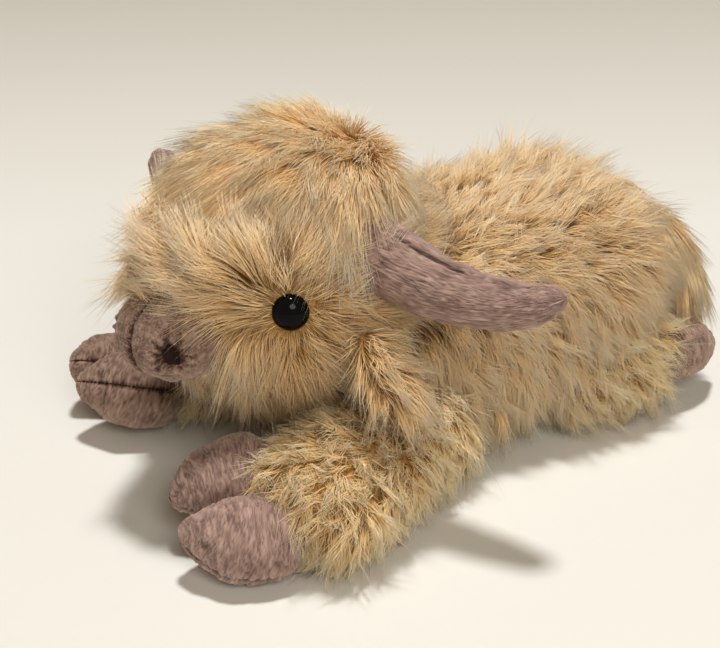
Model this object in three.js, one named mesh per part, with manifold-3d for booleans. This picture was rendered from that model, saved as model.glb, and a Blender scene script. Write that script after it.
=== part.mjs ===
// A plush highland cow lying on its belly, about 30 cm long, in millimetres.
// The nose points along -Y, the cow's left side is +X and +Z is up. The origin is on the
// floor, in the middle of the flat patch that the belly rests on.
//
// Every soft piece is a cover of long-pile cloth over its own filling, and its outside is where
// the combed pile lies. A leg, an ear and the tail begin with a ball that turns in a round seat
// in the piece that carries it, where the real toy bends at a seam. The head's back is a ball
// too, which turns in the hollow between the shoulders.
import * as THREE from "three";
import { mergeVertices } from "three/addons/utils/BufferGeometryUtils.js";
import Module from "manifold-3d";

const wasm = await Module();
wasm.setup();

const vec = (x, y, z) => new THREE.Vector3(x, y, z);
const each = (shares, size) => shares.map((share) => share * size);
const radians = THREE.MathUtils.degToRad;

// Clearances and shared sizes
const seamGap = 0.3; // between pieces that are sewn or stuffed together
const jointGap = 0.8; // round a ball in its seat
const sweepGap = 1.2; // round a piece, at every angle that it turns to
const roughGap = 3.6; // the same, where the sweep is coarsely faceted or steps further
const weld = 1e-3; // points closer than this are one
const flatDepth = 0.5; // how deep the floor flattens what lies on it
const overrun = 4; // how far a cutting shape passes what it cuts
const mouthRadius = 9; // the opening through which a cover is stuffed

// The torso
const torso = { front: -88, length: 176, halfWidth: 60, height: 115, pile: 12, squareShare: 0.8 };
const torsoShares = {
  along: [0, 0.1, 0.26, 0.48, 0.72, 0.88, 1],
  width: [0.74, 0.84, 0.94, 0.98, 1, 0.86, 0.56],
  top: [0.88, 0.93, 0.97, 1, 0.98, 0.84, 0.58],
  bottom: [0.2, 0.06, 0, 0, 0.03, 0.14, 0.3],
};
const beans = { y: 8, z: 15, halfWidth: 34, halfLength: 46, halfHeight: 16 };

// The neck: its centre is where the head turns and nods
const neck = { inset: 4, z: 92, radius: 50, plugRadius: 18, startPlay: 5, endPlay: 13, slopeShare: 0.6 };
const neckY = torso.front + neck.inset;
const headTurn = THREE.MathUtils.degToRad(13);
const headRoll = THREE.MathUtils.degToRad(-3);

// The head, in its own frame: the neck's centre is the origin and the nose points along -Y
const head = { rear: 22, length: 116, halfWidth: 61, halfHeight: 53, z: 6, pile: 11 };
const headShares = { width: [0.8, 0.97, 1, 0.98, 0.86, 0.62], height: [0.8, 0.96, 1, 0.99, 0.88, 0.62] };
// Where its features sit: the share of its length from the rear, of its half width out and of its
// half height up
const seatShares = {
  eye: [0.707, 0.754],
  horn: [0.345, 0.656, 0.547],
  ear: [0.483, 0.959],
  forelock: [0.375, 0, 0.755],
};
function onHead(name, sign, z) {
  const [along, out = 0, up = 0] = seatShares[name];
  const height = z ?? up * head.halfHeight;
  return vec(sign * out * head.halfWidth, head.rear - along * head.length, height);
}
// The muzzle begins a little in from the face's front
const muzzleSeat = (z) => vec(0, head.rear - head.length + muzzle.inset, z);
const forelock = { halfWidth: 51, halfLength: 50, halfHeight: 31 };
const muzzle = { inset: 29, length: 43, halfWidth: 25, halfHeight: 20, rearZ: -2, frontZ: -6, wall: 2.5 };
const muzzleShares = { width: [0.95, 1, 1, 0.96], height: [0.95, 1, 1, 0.94] };
const eye = { z: 10, turn: 50, rise: 8, radius: 7.6, height: 5.5 };
const well = { radius: 9.5, mouth: 15, reach: 23 };
const shank = { radius: 2.4, length: 17 };
const washer = { radius: 7, thick: 1.6 };
const nostril = { z: -5, radius: 4, depth: 3.4, turn: 50 };
const nostrilShares = { along: 0.814, out: 0.74 };

// The horns, in the head's frame
const horn = { reach: 92, sagDepth: 11.5, tipDrop: 9, backReach: 25, radius: 15, wall: 2.5 };
const hornShares = {
  reach: [0, 0.26, 0.54, 0.8, 1],
  sag: [0, 0.72, 1, 0.7, 0],
  back: [0, 0.16, 0.42, 0.72, 1],
  radius: [1, 0.96, 0.82, 0.62, 0.46],
};

// The ears, in the head's frame
const ear = { z: -5, ballRadius: 6, reach: 22, drop: 25, back: 5, halfWidth: 11, halfThick: 4.5 };
const earShares = { width: [0.5, 0.95, 1, 0.6], thick: [1, 1, 1, 0.8] };

// The legs. Each begins a little in from its end of the torso, and its sleeve and its toes reach
// past that end or stop short of it. Each foot's heading is measured from straight ahead (or
// straight back) towards the cow's left, its pitch lifts the toes, and its roll lifts the toe on
// the cow's right
const legs = {
  front_leg_left: {
    x: 46, inset: 24, ballRadius: 26, endX: 82, endReach: 64, toeX: 61, toeReach: 72,
    halfWidth: 33, halfHeight: 25, pile: 9,
    way: -1, heading: -14, pitch: 0, roll: 17,
  },
  front_leg_right: {
    x: -46, inset: 24, ballRadius: 26, endX: -71, endReach: 52, toeX: -68, toeReach: 67,
    halfWidth: 35, halfHeight: 25, pile: 9,
    way: -1, heading: -14, pitch: 14, roll: -10,
  },
  hind_leg_left: {
    x: 37, inset: 58, ballRadius: 27, endX: 36, endReach: -10, toeX: 33, toeReach: -6,
    halfWidth: 29, halfHeight: 27, pile: 9,
    way: 1, heading: 4, pitch: 0, roll: -22,
  },
  hind_leg_right: {
    x: -37, inset: 58, ballRadius: 27, endX: -36, endReach: -10, toeX: -33, toeReach: -6,
    halfWidth: 29, halfHeight: 27, pile: 9,
    way: 1, heading: -4, pitch: 0, roll: 22,
  },
};
const torsoRear = torso.front + torso.length;
function legPoint(leg, x, reach) {
  const end = leg.way < 0 ? torso.front : torsoRear;
  return vec(x, end + leg.way * reach, 0);
}
const legShares = {
  frontWidth: [0.72, 0.88, 0.98, 1, 1],
  hindWidth: [0.86, 1, 1, 0.88, 0.72],
  height: [1, 1.05, 1.05, 1.02, 0.94],
};
const toe = { length: 51, halfWidth: 18.5, halfHeight: 17.5, ahead: 27, apart: 17.5, tipShift: 7 };
const toeRule = { spreadShare: 0.05, hindShare: 0.84 };
const toeShares = {
  width: [0.8, 1, 0.98, 0.82, 0.5],
  height: [0.8, 0.98, 1, 0.9, 0.66],
  inward: [0, 0, 0.15, 0.5, 1],
};

// The tail lies over the rump and hangs behind the left haunch
const tail = { x: 2, inset: 36, sink: 10, ballRadius: 8, halfWidth: 8, halfThick: 7 };
const tailBend = { x: 13, inset: 4, sink: 27 };
const tuft = { x: 39, reach: 6, z: 44, halfWidth: 16, halfThick: 7.5, bulge: 3 };
const tailShares = { width: [0.9, 1, 1, 0.9], thick: [0.9, 1, 1, 0.9] };
const tuftShares = { width: [0.55, 0.85, 1, 1, 0.7], thick: [0.8, 1, 1, 1, 0.8] };

// How far each joint turns, in degrees, with the angles between where the seat is also cut
const legAngles = [0, 10, 20];
const tailAngles = [0, 22, 44];
const headTurnAngle = 12;
const headNodAngle = -4;

// How finely the forms are faceted
const fine = { rings: 10, sides: 18 };
const plain = { rings: 7, sides: 12 };
const coarse = { rings: 5, sides: 8 };
const blunt = { rings: 4, sides: 6 };
const ballFacets = [14, 8];
const seatFacets = [14, 8];
const neckSeatFacets = [20, 12];
const plugFacets = [48, 28];
const smallFacets = [10, 6];
const lockFacets = [20, 12];
const beanFacets = [12, 8];
const eyeFacets = [14, 8];
const snoutFacets = { rings: 9, sides: 18 };

// Geometry to solid, and back
function solid(geometry) {
  const bare = geometry.clone();
  bare.deleteAttribute("normal");
  bare.deleteAttribute("uv");
  const merged = mergeVertices(bare, weld);
  return new wasm.Manifold(
    new wasm.Mesh({
      numProp: 3,
      vertProperties: new Float32Array(merged.attributes.position.array),
      triVerts: new Uint32Array(merged.index.array),
    }),
  );
}

function geometryOf(made) {
  const mesh = made.getMesh();
  const places = new Float32Array(mesh.numVert * 3);
  for (let i = 0; i < mesh.numVert; i++) {
    for (let k = 0; k < 3; k++) places[i * 3 + k] = mesh.vertProperties[i * mesh.numProp + k];
  }
  const geometry = new THREE.BufferGeometry();
  geometry.setAttribute("position", new THREE.BufferAttribute(places, 3));
  geometry.setIndex(new THREE.BufferAttribute(new Uint32Array(mesh.triVerts), 1));
  geometry.computeVertexNormals();
  return geometry;
}

// A value that runs smoothly through a list of values, as u goes from 0 to 1
function through(values, u) {
  const line = new THREE.CatmullRomCurve3(values.map((v) => vec(v, 0, 0)), false, "catmullrom", 0.5);
  return line.getPoint(u).x;
}

// A closed form that swells and tapers along a spine, with both ends rounded
function swell({ spine, across, tall, facets, startShare = 0.2, endShare = 0.2, squareShare = 1 }) {
  const line = new THREE.CatmullRomCurve3(spine, false, "catmullrom", 0.5);
  const { rings, sides } = facets;
  const places = [];
  const faces = [];
  const cap = (share, round) => Math.sqrt(1 - (1 - Math.min(share / round, 1)) ** 2);
  const bend = (part) => Math.sign(part) * Math.abs(part) ** squareShare;
  places.push(...line.getPoint(0).toArray());
  for (let k = 1; k < rings; k++) {
    const u = (1 - Math.cos((Math.PI * k) / rings)) / 2;
    const centre = line.getPoint(u);
    const ahead = line.getTangent(u);
    const side = vec(0, 0, 0).crossVectors(ahead, vec(0, 0, 1)).normalize();
    const rise = vec(0, 0, 0).crossVectors(side, ahead).normalize();
    const share = cap(u, startShare) * cap(1 - u, endShare);
    for (let i = 0; i < sides; i++) {
      const turn = (2 * Math.PI * (i + 0.5)) / sides;
      const p = centre.clone();
      p.addScaledVector(side, through(across, u) * share * bend(Math.cos(turn)));
      p.addScaledVector(rise, through(tall, u) * share * bend(Math.sin(turn)));
      places.push(...p.toArray());
    }
  }
  places.push(...line.getPoint(1).toArray());
  const last = places.length / 3 - 1;
  const at = (k, i) => 1 + (k - 1) * sides + (i % sides);
  for (let i = 0; i < sides; i++) {
    faces.push(0, at(1, i), at(1, i + 1));
    for (let k = 1; k < rings - 1; k++) {
      faces.push(at(k, i), at(k + 1, i + 1), at(k, i + 1), at(k, i), at(k + 1, i), at(k + 1, i + 1));
    }
    faces.push(at(rings - 1, i), last, at(rings - 1, i + 1));
  }
  const geometry = new THREE.BufferGeometry();
  geometry.setAttribute("position", new THREE.BufferAttribute(new Float32Array(places), 3));
  geometry.setIndex(faces);
  return solid(geometry);
}

// A ball, an egg, a block, and a round bar from one point to another
const ball = (centre, radius, facets = ballFacets) =>
  solid(new THREE.SphereGeometry(radius, ...facets).translate(centre.x, centre.y, centre.z));

function egg(centre, halfX, halfY, halfZ, facets) {
  const geometry = new THREE.SphereGeometry(1, ...facets).scale(halfX, halfY, halfZ);
  return solid(geometry.translate(centre.x, centre.y, centre.z));
}

const block = (low, high) => {
  const size = high.clone().sub(low);
  const middle = low.clone().lerp(high, 0.5);
  return solid(new THREE.BoxGeometry(size.x, size.y, size.z).translate(middle.x, middle.y, middle.z));
};

function bar(from, to, radius, endRadius = radius, sides = 14) {
  const way = to.clone().sub(from);
  const geometry = new THREE.CylinderGeometry(endRadius, radius, way.length(), sides);
  const turn = new THREE.Quaternion().setFromUnitVectors(vec(0, 1, 0), way.clone().normalize());
  geometry.applyQuaternion(turn).translate(...from.clone().lerp(to, 0.5).toArray());
  return solid(geometry);
}

// A round seat whose flat facets all clear a ball that turns in it
function seatOf(centre, radius, facets = seatFacets) {
  const shrink = Math.cos(Math.PI / facets[0]) * Math.cos(Math.PI / (2 * facets[1]));
  return ball(centre, (radius + jointGap) / shrink, facets);
}

const join = (solids) => solids.reduce((a, b) => a.add(b));
const cut = (whole, ...cutters) => cutters.reduce((a, b) => a.subtract(b), whole);
const moved = (made, matrix) => solid(geometryOf(made).applyMatrix4(matrix));

// The same solid, turned about an axis through a point
function turned(made, point, axis, degrees) {
  const matrix = new THREE.Matrix4()
    .makeTranslation(point)
    .multiply(new THREE.Matrix4().makeRotationAxis(axis, radians(degrees)))
    .multiply(new THREE.Matrix4().makeTranslation(point.clone().negate()));
  return moved(made, matrix);
}

// Cutting leaves loose crumbs: only the largest body is kept
function largest(made) {
  const bodies = made.decompose();
  return bodies.reduce((a, b) => (b.volume() > a.volume() ? b : a));
}

// What lies under the floor
const far = torso.length;
const underFloor = block(vec(-far, -far, -torso.height), vec(far, far, 0));

// The torso's form, drawn in by a distance
function torsoForm(inset, facets) {
  const spine = torsoShares.along.map((share, i) => {
    const y = torso.front + inset + share * (torso.length - 2 * inset);
    const high = torsoShares.top[i] * torso.height;
    const low = torsoShares.bottom[i] * torso.height - flatDepth;
    return vec(0, y, (high + low) / 2);
  });
  const tall = torsoShares.top.map(
    (top, i) => ((top - torsoShares.bottom[i]) * torso.height + flatDepth) / 2 - inset,
  );
  const across = each(torsoShares.width, torso.halfWidth).map((w) => w - inset);
  const { squareShare } = torso;
  return swell({ spine, across, tall, facets, startShare: 0.1, endShare: 0.3, squareShare });
}

// The face's form, in the head's frame, drawn in by a distance, and the whole head's form
function faceForm(inset, facets) {
  const last = headShares.width.length - 1;
  const spine = headShares.width.map((_, i) =>
    vec(0, head.rear - inset - (i / last) * (head.length - 2 * inset), head.z),
  );
  const across = each(headShares.width, head.halfWidth).map((w) => w - inset);
  const tall = each(headShares.height, head.halfHeight).map((h) => h - inset);
  return swell({ spine, across, tall, facets, startShare: 0.34, endShare: 0.36 });
}

const headForm = (inset, facets) =>
  faceForm(inset, facets).add(ball(vec(0, 0, 0), neck.radius - inset, [facets.sides + 2, facets.rings + 1]));

// A leg's sleeve, grown outwards by a distance
function sleeveForm(leg, grow, facets) {
  const root = legPoint(leg, leg.x, -leg.inset);
  const foot = legPoint(leg, leg.endX, leg.endReach);
  const end = foot.clone().add(foot.clone().sub(root).normalize().multiplyScalar(grow));
  const last = legShares.height.length - 1;
  const spine = legShares.height.map((_, i) => {
    const p = root.clone().lerp(end, i / last);
    return p.setZ(legShares.height[i] * leg.halfHeight - flatDepth);
  });
  const widthShares = leg.way < 0 ? legShares.frontWidth : legShares.hindWidth;
  const across = each(widthShares, leg.halfWidth).map((w) => w + grow);
  const tall = each(legShares.height, leg.halfHeight).map((h) => h + grow);
  return swell({ spine, across, tall, facets, startShare: 0.14, endShare: 0.14 });
}

const legRoot = (leg) => legPoint(leg, leg.x, -leg.inset).setZ(leg.ballRadius - flatDepth);
function legForm(leg, grow, facets) {
  const root = ball(legRoot(leg), leg.ballRadius + grow, [facets.sides, facets.rings + 1]);
  return sleeveForm(leg, grow, facets).add(root);
}

// A toe of a foot, drawn in by a distance; side is 1 for the toe on the cow's left
function toeForm(leg, side, inset, facets) {
  const share = leg.way > 0 ? toeRule.hindShare : 1;
  const lift = toe.halfHeight * share - flatDepth + Math.sin(radians(Math.abs(leg.roll))) * toe.apart * share;
  const frame = new THREE.Matrix4()
    .makeTranslation(legPoint(leg, leg.toeX, leg.toeReach).setZ(lift))
    .multiply(new THREE.Matrix4().makeRotationZ(radians(leg.heading * -leg.way)))
    .multiply(new THREE.Matrix4().makeRotationX(radians(leg.pitch * leg.way)))
    .multiply(new THREE.Matrix4().makeRotationY(radians(leg.roll)));
  const last = toeShares.width.length - 1;
  const spine = toeShares.width.map((_, i) => {
    const along = toe.ahead - toe.length + inset + ((toe.length - 2 * inset) * i) / last;
    const inward = toeShares.inward[i] * toe.tipShift;
    const apart = (toe.apart - inward) * share + toeRule.spreadShare * along;
    return vec(side * apart, leg.way * along, 0);
  });
  const across = each(toeShares.width, toe.halfWidth * share).map((w) => w - inset);
  const tall = each(toeShares.height, toe.halfHeight * share).map((h) => h - inset);
  return moved(swell({ spine, across, tall, facets, startShare: 0.3, endShare: 0.42 }), frame);
}

// Everywhere that a leg goes as it swings outwards
function legSweep(leg) {
  const outward = leg.way * -Math.sign(leg.x);
  const toes = [1, -1].map((side) => toeForm(leg, side, -roughGap, blunt));
  const sleeve = sleeveForm(leg, sweepGap, plain);
  const grown = leg.way > 0 ? join([sleeve, ...toes]) : sleeve;
  const sweeps = legAngles.map((angle) => turned(grown, legRoot(leg), vec(0, 0, 1), outward * angle));
  return join(sweeps).add(seatOf(legRoot(leg), leg.ballRadius));
}

// The horn's form, in the head's frame, drawn in by a distance
function hornForm(sign, inset, facets) {
  const spine = hornShares.reach.map((share, i) => {
    const drop = hornShares.sag[i] * horn.sagDepth + share * horn.tipDrop;
    const reach = vec(sign * share * (horn.reach - inset), hornShares.back[i] * horn.backReach, -drop);
    return onHead("horn", sign).add(reach);
  });
  const radii = each(hornShares.radius, horn.radius).map((r) => r - inset);
  return swell({ spine, across: radii, tall: radii, facets, startShare: 0.08, endShare: 0.14 });
}

// The ear's form, in the head's frame, grown outwards by a distance
const earRoot = (sign) => onHead("ear", sign, ear.z);
function earForm(sign, grow, facets) {
  const last = earShares.width.length - 1;
  const spine = earShares.width.map((_, i) => {
    const share = i / last;
    return earRoot(sign).add(vec(sign * ear.reach * share, ear.back * share, -ear.drop * share));
  });
  const across = each(earShares.width, ear.halfWidth).map((w) => w + grow);
  const tall = each(earShares.thick, ear.halfThick).map((t) => t + grow);
  const lobe = swell({ spine, across, tall, facets, startShare: 0.15, endShare: 0.34 });
  return lobe.add(ball(earRoot(sign), ear.ballRadius + grow, [facets.sides, facets.rings]));
}

// The tail's root cord and its tuft
const tailPoint = (place) => vec(place.x, torsoRear - place.inset, torso.height - place.sink);
const tailRoot = tailPoint(tail);
const tailMiddle = tailPoint(tailBend);
function cordForm(grow, facets) {
  const bend = tailRoot.clone().lerp(tailMiddle, 0.5).add(vec(0, 0, tail.halfThick / 2));
  const spine = [tailRoot, tailRoot.clone().lerp(bend, 0.5), bend, tailMiddle];
  const across = each(tailShares.width, tail.halfWidth).map((w) => w + grow);
  const tall = each(tailShares.thick, tail.halfThick).map((t) => t + grow);
  const root = ball(tailRoot, tail.ballRadius + grow, [facets.sides, facets.rings]);
  return swell({ spine, across, tall, facets }).add(root);
}

function tuftForm(grow, facets) {
  const end = vec(tuft.x, torsoRear + tuft.reach, tuft.z);
  const last = tuftShares.width.length - 1;
  const spine = tuftShares.width.map((_, i) => {
    const share = i / last;
    const p = tailMiddle.clone().lerp(end, share);
    return p.add(vec(0, tuft.bulge * Math.sin(Math.PI * share), tuft.bulge * Math.sin(Math.PI * share)));
  });
  const across = each(tuftShares.width, tuft.halfWidth).map((w) => w + grow);
  const tall = each(tuftShares.thick, tuft.halfThick).map((t) => t + grow);
  return swell({ spine, across, tall, facets, startShare: 0.2, endShare: 0.34 });
}

// Colours and finishes
const cloth = (color, roughness = 0.95) => new THREE.MeshStandardMaterial({ color, roughness, metalness: 0 });
const materials = {
  fur: cloth(0xc9a873),
  silk: cloth(0xd8ab66, 0.8),
  suede: cloth(0x8a706b),
  filling: cloth(0xf1efe9),
  beans: cloth(0xb9b2a4),
  thread: cloth(0x2a1714),
  eye: cloth(0x0a0a0c, 0.08),
  washer: cloth(0xe8e6e0, 0.5),
};

// The group, and the head's own frame inside it
const cow = new THREE.Group();
const headGroup = new THREE.Group();
headGroup.position.set(0, neckY, neck.z);
headGroup.rotation.set(0, headRoll, headTurn, "ZYX");
headGroup.updateMatrix();
cow.add(headGroup);

function add(group, name, made, material) {
  const mesh = new THREE.Mesh(geometryOf(largest(made)), material);
  mesh.name = name;
  group.add(mesh);
}

// The torso, with its seats for the head, the legs and the tail
const neckCentre = vec(0, neckY, neck.z);
const legSweeps = Object.values(legs).map(legSweep);
const tailSwing = (angle) => turned(cordForm(seamGap, plain), tailRoot, vec(1, 0, 0), angle);
const tailSweep = join(tailAngles.map(tailSwing));
const tuftRest = tuftForm(seamGap, plain);
const tailSeat = tailSweep.add(seatOf(tailRoot, tail.ballRadius, smallFacets)).add(tuftRest);
const headSweeps = [headTurnAngle, -headTurnAngle].map((angle) => {
  const tipped = turned(faceForm(-roughGap, plain), vec(0, 0, 0), vec(-1, 0, 0), headNodAngle);
  return turned(moved(tipped, headGroup.matrix), neckCentre, vec(0, 0, 1), angle);
});
const neckSeat = seatOf(neckCentre, neck.radius, neckSeatFacets);
const seats = [...headSweeps, neckSeat, tailSeat, ...legSweeps, underFloor];
function beanBag(grow) {
  const halves = [beans.halfWidth, beans.halfLength, beans.halfHeight];
  const [halfX, halfY, halfZ] = halves.map((half) => half + grow);
  return egg(vec(0, beans.y, beans.z), halfX, halfY, halfZ, beanFacets);
}
const torsoHollow = torsoForm(torso.pile, coarse);
const torsoFilling = torsoForm(torso.pile + seamGap, coarse);
add(cow, "torso_cover", cut(torsoForm(0, fine), torsoHollow, ...seats), materials.fur);
add(cow, "torso_stuffing", cut(torsoFilling, beanBag(seamGap), ...seats), materials.filling);
add(cow, "belly_bean_bag", cut(beanBag(0).intersect(torsoFilling), ...legSweeps), materials.beans);

// The neck: a column of filling from the head's middle to the back of the head
const plugAim = vec(0, 1, -neck.slopeShare).normalize();
const plugAt = (distance) => plugAim.clone().multiplyScalar(distance);
const plug = bar(plugAt(-neck.plugRadius), plugAt(neck.radius + overrun), neck.plugRadius);
const plugSeat = bar(
  plugAt(-neck.plugRadius - neck.startPlay),
  plugAt(neck.radius + overrun),
  neck.plugRadius + neck.startPlay,
  neck.plugRadius + neck.endPlay,
);
const plugLimit = ball(vec(0, 0, 0), neck.radius + jointGap - seamGap, plugFacets);
add(headGroup, "neck_stuffing", plug.intersect(plugLimit), materials.filling);

// The eyes, each with its shank and washer
const sides = [["left", 1], ["right", -1]];
function eyeAim(sign) {
  const turn = radians(eye.turn);
  return vec(sign * Math.sin(turn), -Math.cos(turn), Math.sin(radians(eye.rise))).normalize();
}
function eyeParts(sign) {
  const seat = onHead("eye", sign, eye.z);
  const aim = eyeAim(sign);
  const at = (distance) => seat.clone().addScaledVector(aim, distance);
  const dome = egg(vec(0, 0, 0), eye.radius, eye.height, eye.radius, eyeFacets)
    .intersect(block(vec(-far, 0, -far), vec(far, far, far)));
  const turn = new THREE.Matrix4().makeRotationFromQuaternion(
    new THREE.Quaternion().setFromUnitVectors(vec(0, 1, 0), aim),
  );
  const placed = moved(dome, turn.setPosition(seat));
  const pin = bar(at(-shank.length), at(eye.height / 2), shank.radius);
  const back = washer.thick + seamGap;
  const disc = cut(
    bar(at(-shank.length + seamGap), at(-shank.length + back), washer.radius),
    bar(at(-shank.length - overrun), at(0), shank.radius + seamGap),
  );
  return {
    button: placed.add(pin),
    washer: disc,
    well: bar(at(0), at(well.reach), well.radius, well.mouth),
    hole: bar(at(-shank.length - overrun), at(overrun), shank.radius + seamGap),
    pocket: bar(at(-shank.length - seamGap), at(-shank.length + back + seamGap), washer.radius + seamGap),
  };
}
const eyes = Object.fromEntries(sides.map(([name, sign]) => [name, eyeParts(sign)]));

// The head
const horns = sides.map(([, sign]) => hornForm(sign, -seamGap, plain));
const earSeats = sides.map(([, sign]) => seatOf(earRoot(sign), ear.ballRadius, smallFacets));
const eyeCuts = Object.values(eyes).flatMap((parts) => [parts.well, parts.hole]);
const headHollow = headForm(head.pile, coarse);
const headCuts = [plugSeat, ...horns, ...earSeats];
add(headGroup, "head_cover", cut(headForm(0, fine), headHollow, ...headCuts, ...eyeCuts), materials.fur);
const pockets = Object.values(eyes).map((parts) => parts.pocket);
const headFilling = cut(headForm(head.pile + seamGap, coarse), ...headCuts, ...eyeCuts, ...pockets);
add(headGroup, "head_stuffing", headFilling, materials.filling);
for (const [name] of sides) {
  add(headGroup, `eye_${name}`, eyes[name].button, materials.eye);
  add(headGroup, `eye_washer_${name}`, eyes[name].washer, materials.washer);
}

// The forelock lies over the crown and brow
const { halfWidth, halfLength, halfHeight } = forelock;
const lock = egg(onHead("forelock", 0), halfWidth, halfLength, halfHeight, lockFacets);
add(headGroup, "forelock", cut(lock, headForm(-seamGap, fine), ...horns), materials.silk);

// The muzzle and its nostrils
function muzzleForm(inset, facets) {
  const last = muzzleShares.width.length - 1;
  const spine = muzzleShares.width.map((_, i) => {
    const along = inset + ((muzzle.length - 2 * inset) * i) / last;
    const z = muzzle.rearZ + (muzzle.frontZ - muzzle.rearZ) * (i / last);
    return muzzleSeat(z).sub(vec(0, along, 0));
  });
  const across = each(muzzleShares.width, muzzle.halfWidth).map((w) => w - inset);
  const tall = each(muzzleShares.height, muzzle.halfHeight).map((h) => h - inset);
  return swell({ spine, across, tall, facets, startShare: 0.15, endShare: 0.55 });
}
const headSkin = headForm(-seamGap, fine);
function nostrilBar(sign, grow) {
  const forward = vec(sign * nostrilShares.out * muzzle.halfWidth, -nostrilShares.along * muzzle.length, 0);
  const seat = muzzleSeat(nostril.z).add(forward);
  const aim = vec(sign * Math.sin(radians(nostril.turn)), -Math.cos(radians(nostril.turn)), 0);
  const inner = seat.clone().addScaledVector(aim, -nostril.depth - grow);
  return bar(inner, seat.clone().addScaledVector(aim, grow * overrun), nostril.radius + grow);
}
const nostrilCuts = sides.map(([, sign]) => nostrilBar(sign, seamGap));
const snout = muzzleForm(0, snoutFacets);
const snoutHollow = muzzleForm(nostril.depth + muzzle.wall, plain);
add(headGroup, "muzzle_cover", cut(snout, headSkin, snoutHollow, ...nostrilCuts), materials.suede);
const snoutFilling = cut(muzzleForm(nostril.depth + muzzle.wall + seamGap, plain), headSkin);
add(headGroup, "muzzle_stuffing", snoutFilling, materials.filling);
for (const [name, sign] of sides) {
  add(headGroup, `nostril_${name}`, nostrilBar(sign, 0).intersect(snout), materials.thread);
}

// The horns and their filling, which begins inside the head
for (const [name, sign] of sides) {
  const root = (reach) => onHead("horn", sign).add(vec(sign * reach, 0, 0));
  const mouth = bar(root(-overrun), root(mouthRadius), mouthRadius);
  const horned = cut(hornForm(sign, 0, plain), hornForm(sign, horn.wall, coarse), mouth);
  add(headGroup, `horn_${name}`, horned, materials.suede);
  add(headGroup, `horn_stuffing_${name}`, hornForm(sign, horn.wall + seamGap, coarse), materials.filling);
  add(headGroup, `ear_${name}`, earForm(sign, 0, coarse), materials.fur);
}

// The legs and their toes
for (const [name, leg] of Object.entries(legs)) {
  const root = legRoot(leg);
  const foot = legPoint(leg, leg.endX, leg.endReach).setZ(root.z);
  const back = root.clone().sub(foot).setLength(leg.ballRadius + overrun).add(root);
  const hollow = legForm(leg, -leg.pile, coarse).add(bar(root, back, mouthRadius));
  add(cow, `${name}_cover`, cut(legForm(leg, 0, plain), hollow, underFloor), materials.fur);
  add(cow, `${name}_stuffing`, legForm(leg, -leg.pile - seamGap, coarse), materials.filling);
  const sleeve = legForm(leg, seamGap, plain);
  const parting = toeForm(leg, -1, -seamGap, plain);
  const stem = name.replace("_leg_", "_toe_");
  const outerSide = Math.sign(leg.x);
  for (const side of [1, -1]) {
    const cutters = side === 1 ? [sleeve, underFloor, parting] : [sleeve, underFloor];
    const place = side === outerSide ? "outer" : "inner";
    add(cow, `${stem}_${place}`, cut(toeForm(leg, side, 0, plain), ...cutters), materials.suede);
  }
}

// The tail and its tuft
add(cow, "tail_cord", cordForm(0, plain), materials.fur);
add(cow, "tail_tuft", cut(tuftForm(0, plain), cordForm(seamGap, plain), underFloor), materials.silk);

export default cow;
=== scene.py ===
# A plush cow that lies on a pale studio floor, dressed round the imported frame.
import math
from functools import partialmethod
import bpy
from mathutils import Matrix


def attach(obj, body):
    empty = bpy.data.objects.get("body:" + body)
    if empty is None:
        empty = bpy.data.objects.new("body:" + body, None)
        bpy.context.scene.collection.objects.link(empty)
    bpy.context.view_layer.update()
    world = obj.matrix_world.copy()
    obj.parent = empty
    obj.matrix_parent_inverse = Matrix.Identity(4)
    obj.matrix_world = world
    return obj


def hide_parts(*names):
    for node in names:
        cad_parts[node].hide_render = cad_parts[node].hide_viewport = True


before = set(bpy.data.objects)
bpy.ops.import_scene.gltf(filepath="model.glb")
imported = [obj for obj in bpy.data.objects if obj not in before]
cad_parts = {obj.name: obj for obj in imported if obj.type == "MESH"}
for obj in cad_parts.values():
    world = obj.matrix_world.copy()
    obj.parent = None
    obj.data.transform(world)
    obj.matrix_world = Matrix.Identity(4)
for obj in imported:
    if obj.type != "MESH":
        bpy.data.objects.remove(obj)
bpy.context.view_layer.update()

from types import SimpleNamespace as Sizes

import bpy
import numpy as np
from mathutils import Matrix, Vector, bvhtree, noise

MM = 0.001


# Sizes in millimetres, as the part has them
NECK = (0, -84, 92)
NECK_BALL = 50
HEAD_TURN, HEAD_ROLL = 13, -3
HEAD = Sizes(rear=22, length=116, half_width=61, half_height=53, z=6)
EYE = Sizes(x=46, y=-60, z=10, turn=50, rise=8, radius=7.6, height=5.5, rim=-0.8)
SHANK = Sizes(radius=2.4, top=-1.0, end=-16.9)
MUZZLE = Sizes(rear=65, length=43, half_width=25, half_height=20, rear_z=-2, front_z=-6)
NOSTRIL = Sizes(x=18.5, y=-100, z=-5, turn=50, halves=(4.1, 3.5, 1.7), depth=2.2)
HORN = Sizes(x=40, y=-18, z=29, reach=92, sag=11.5, drop=9, back=25, radius=15)
EAR = Sizes(x=58.5, y=-34, z=-5, reach=22, drop=25, back=5, half_width=11, half_thick=4.5)
FORELOCK = Sizes(y=-21.5, z=40, half_width=51, half_length=50, half_height=31)
TORSO = Sizes(front=-88, length=176, half_width=60, height=115)
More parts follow.
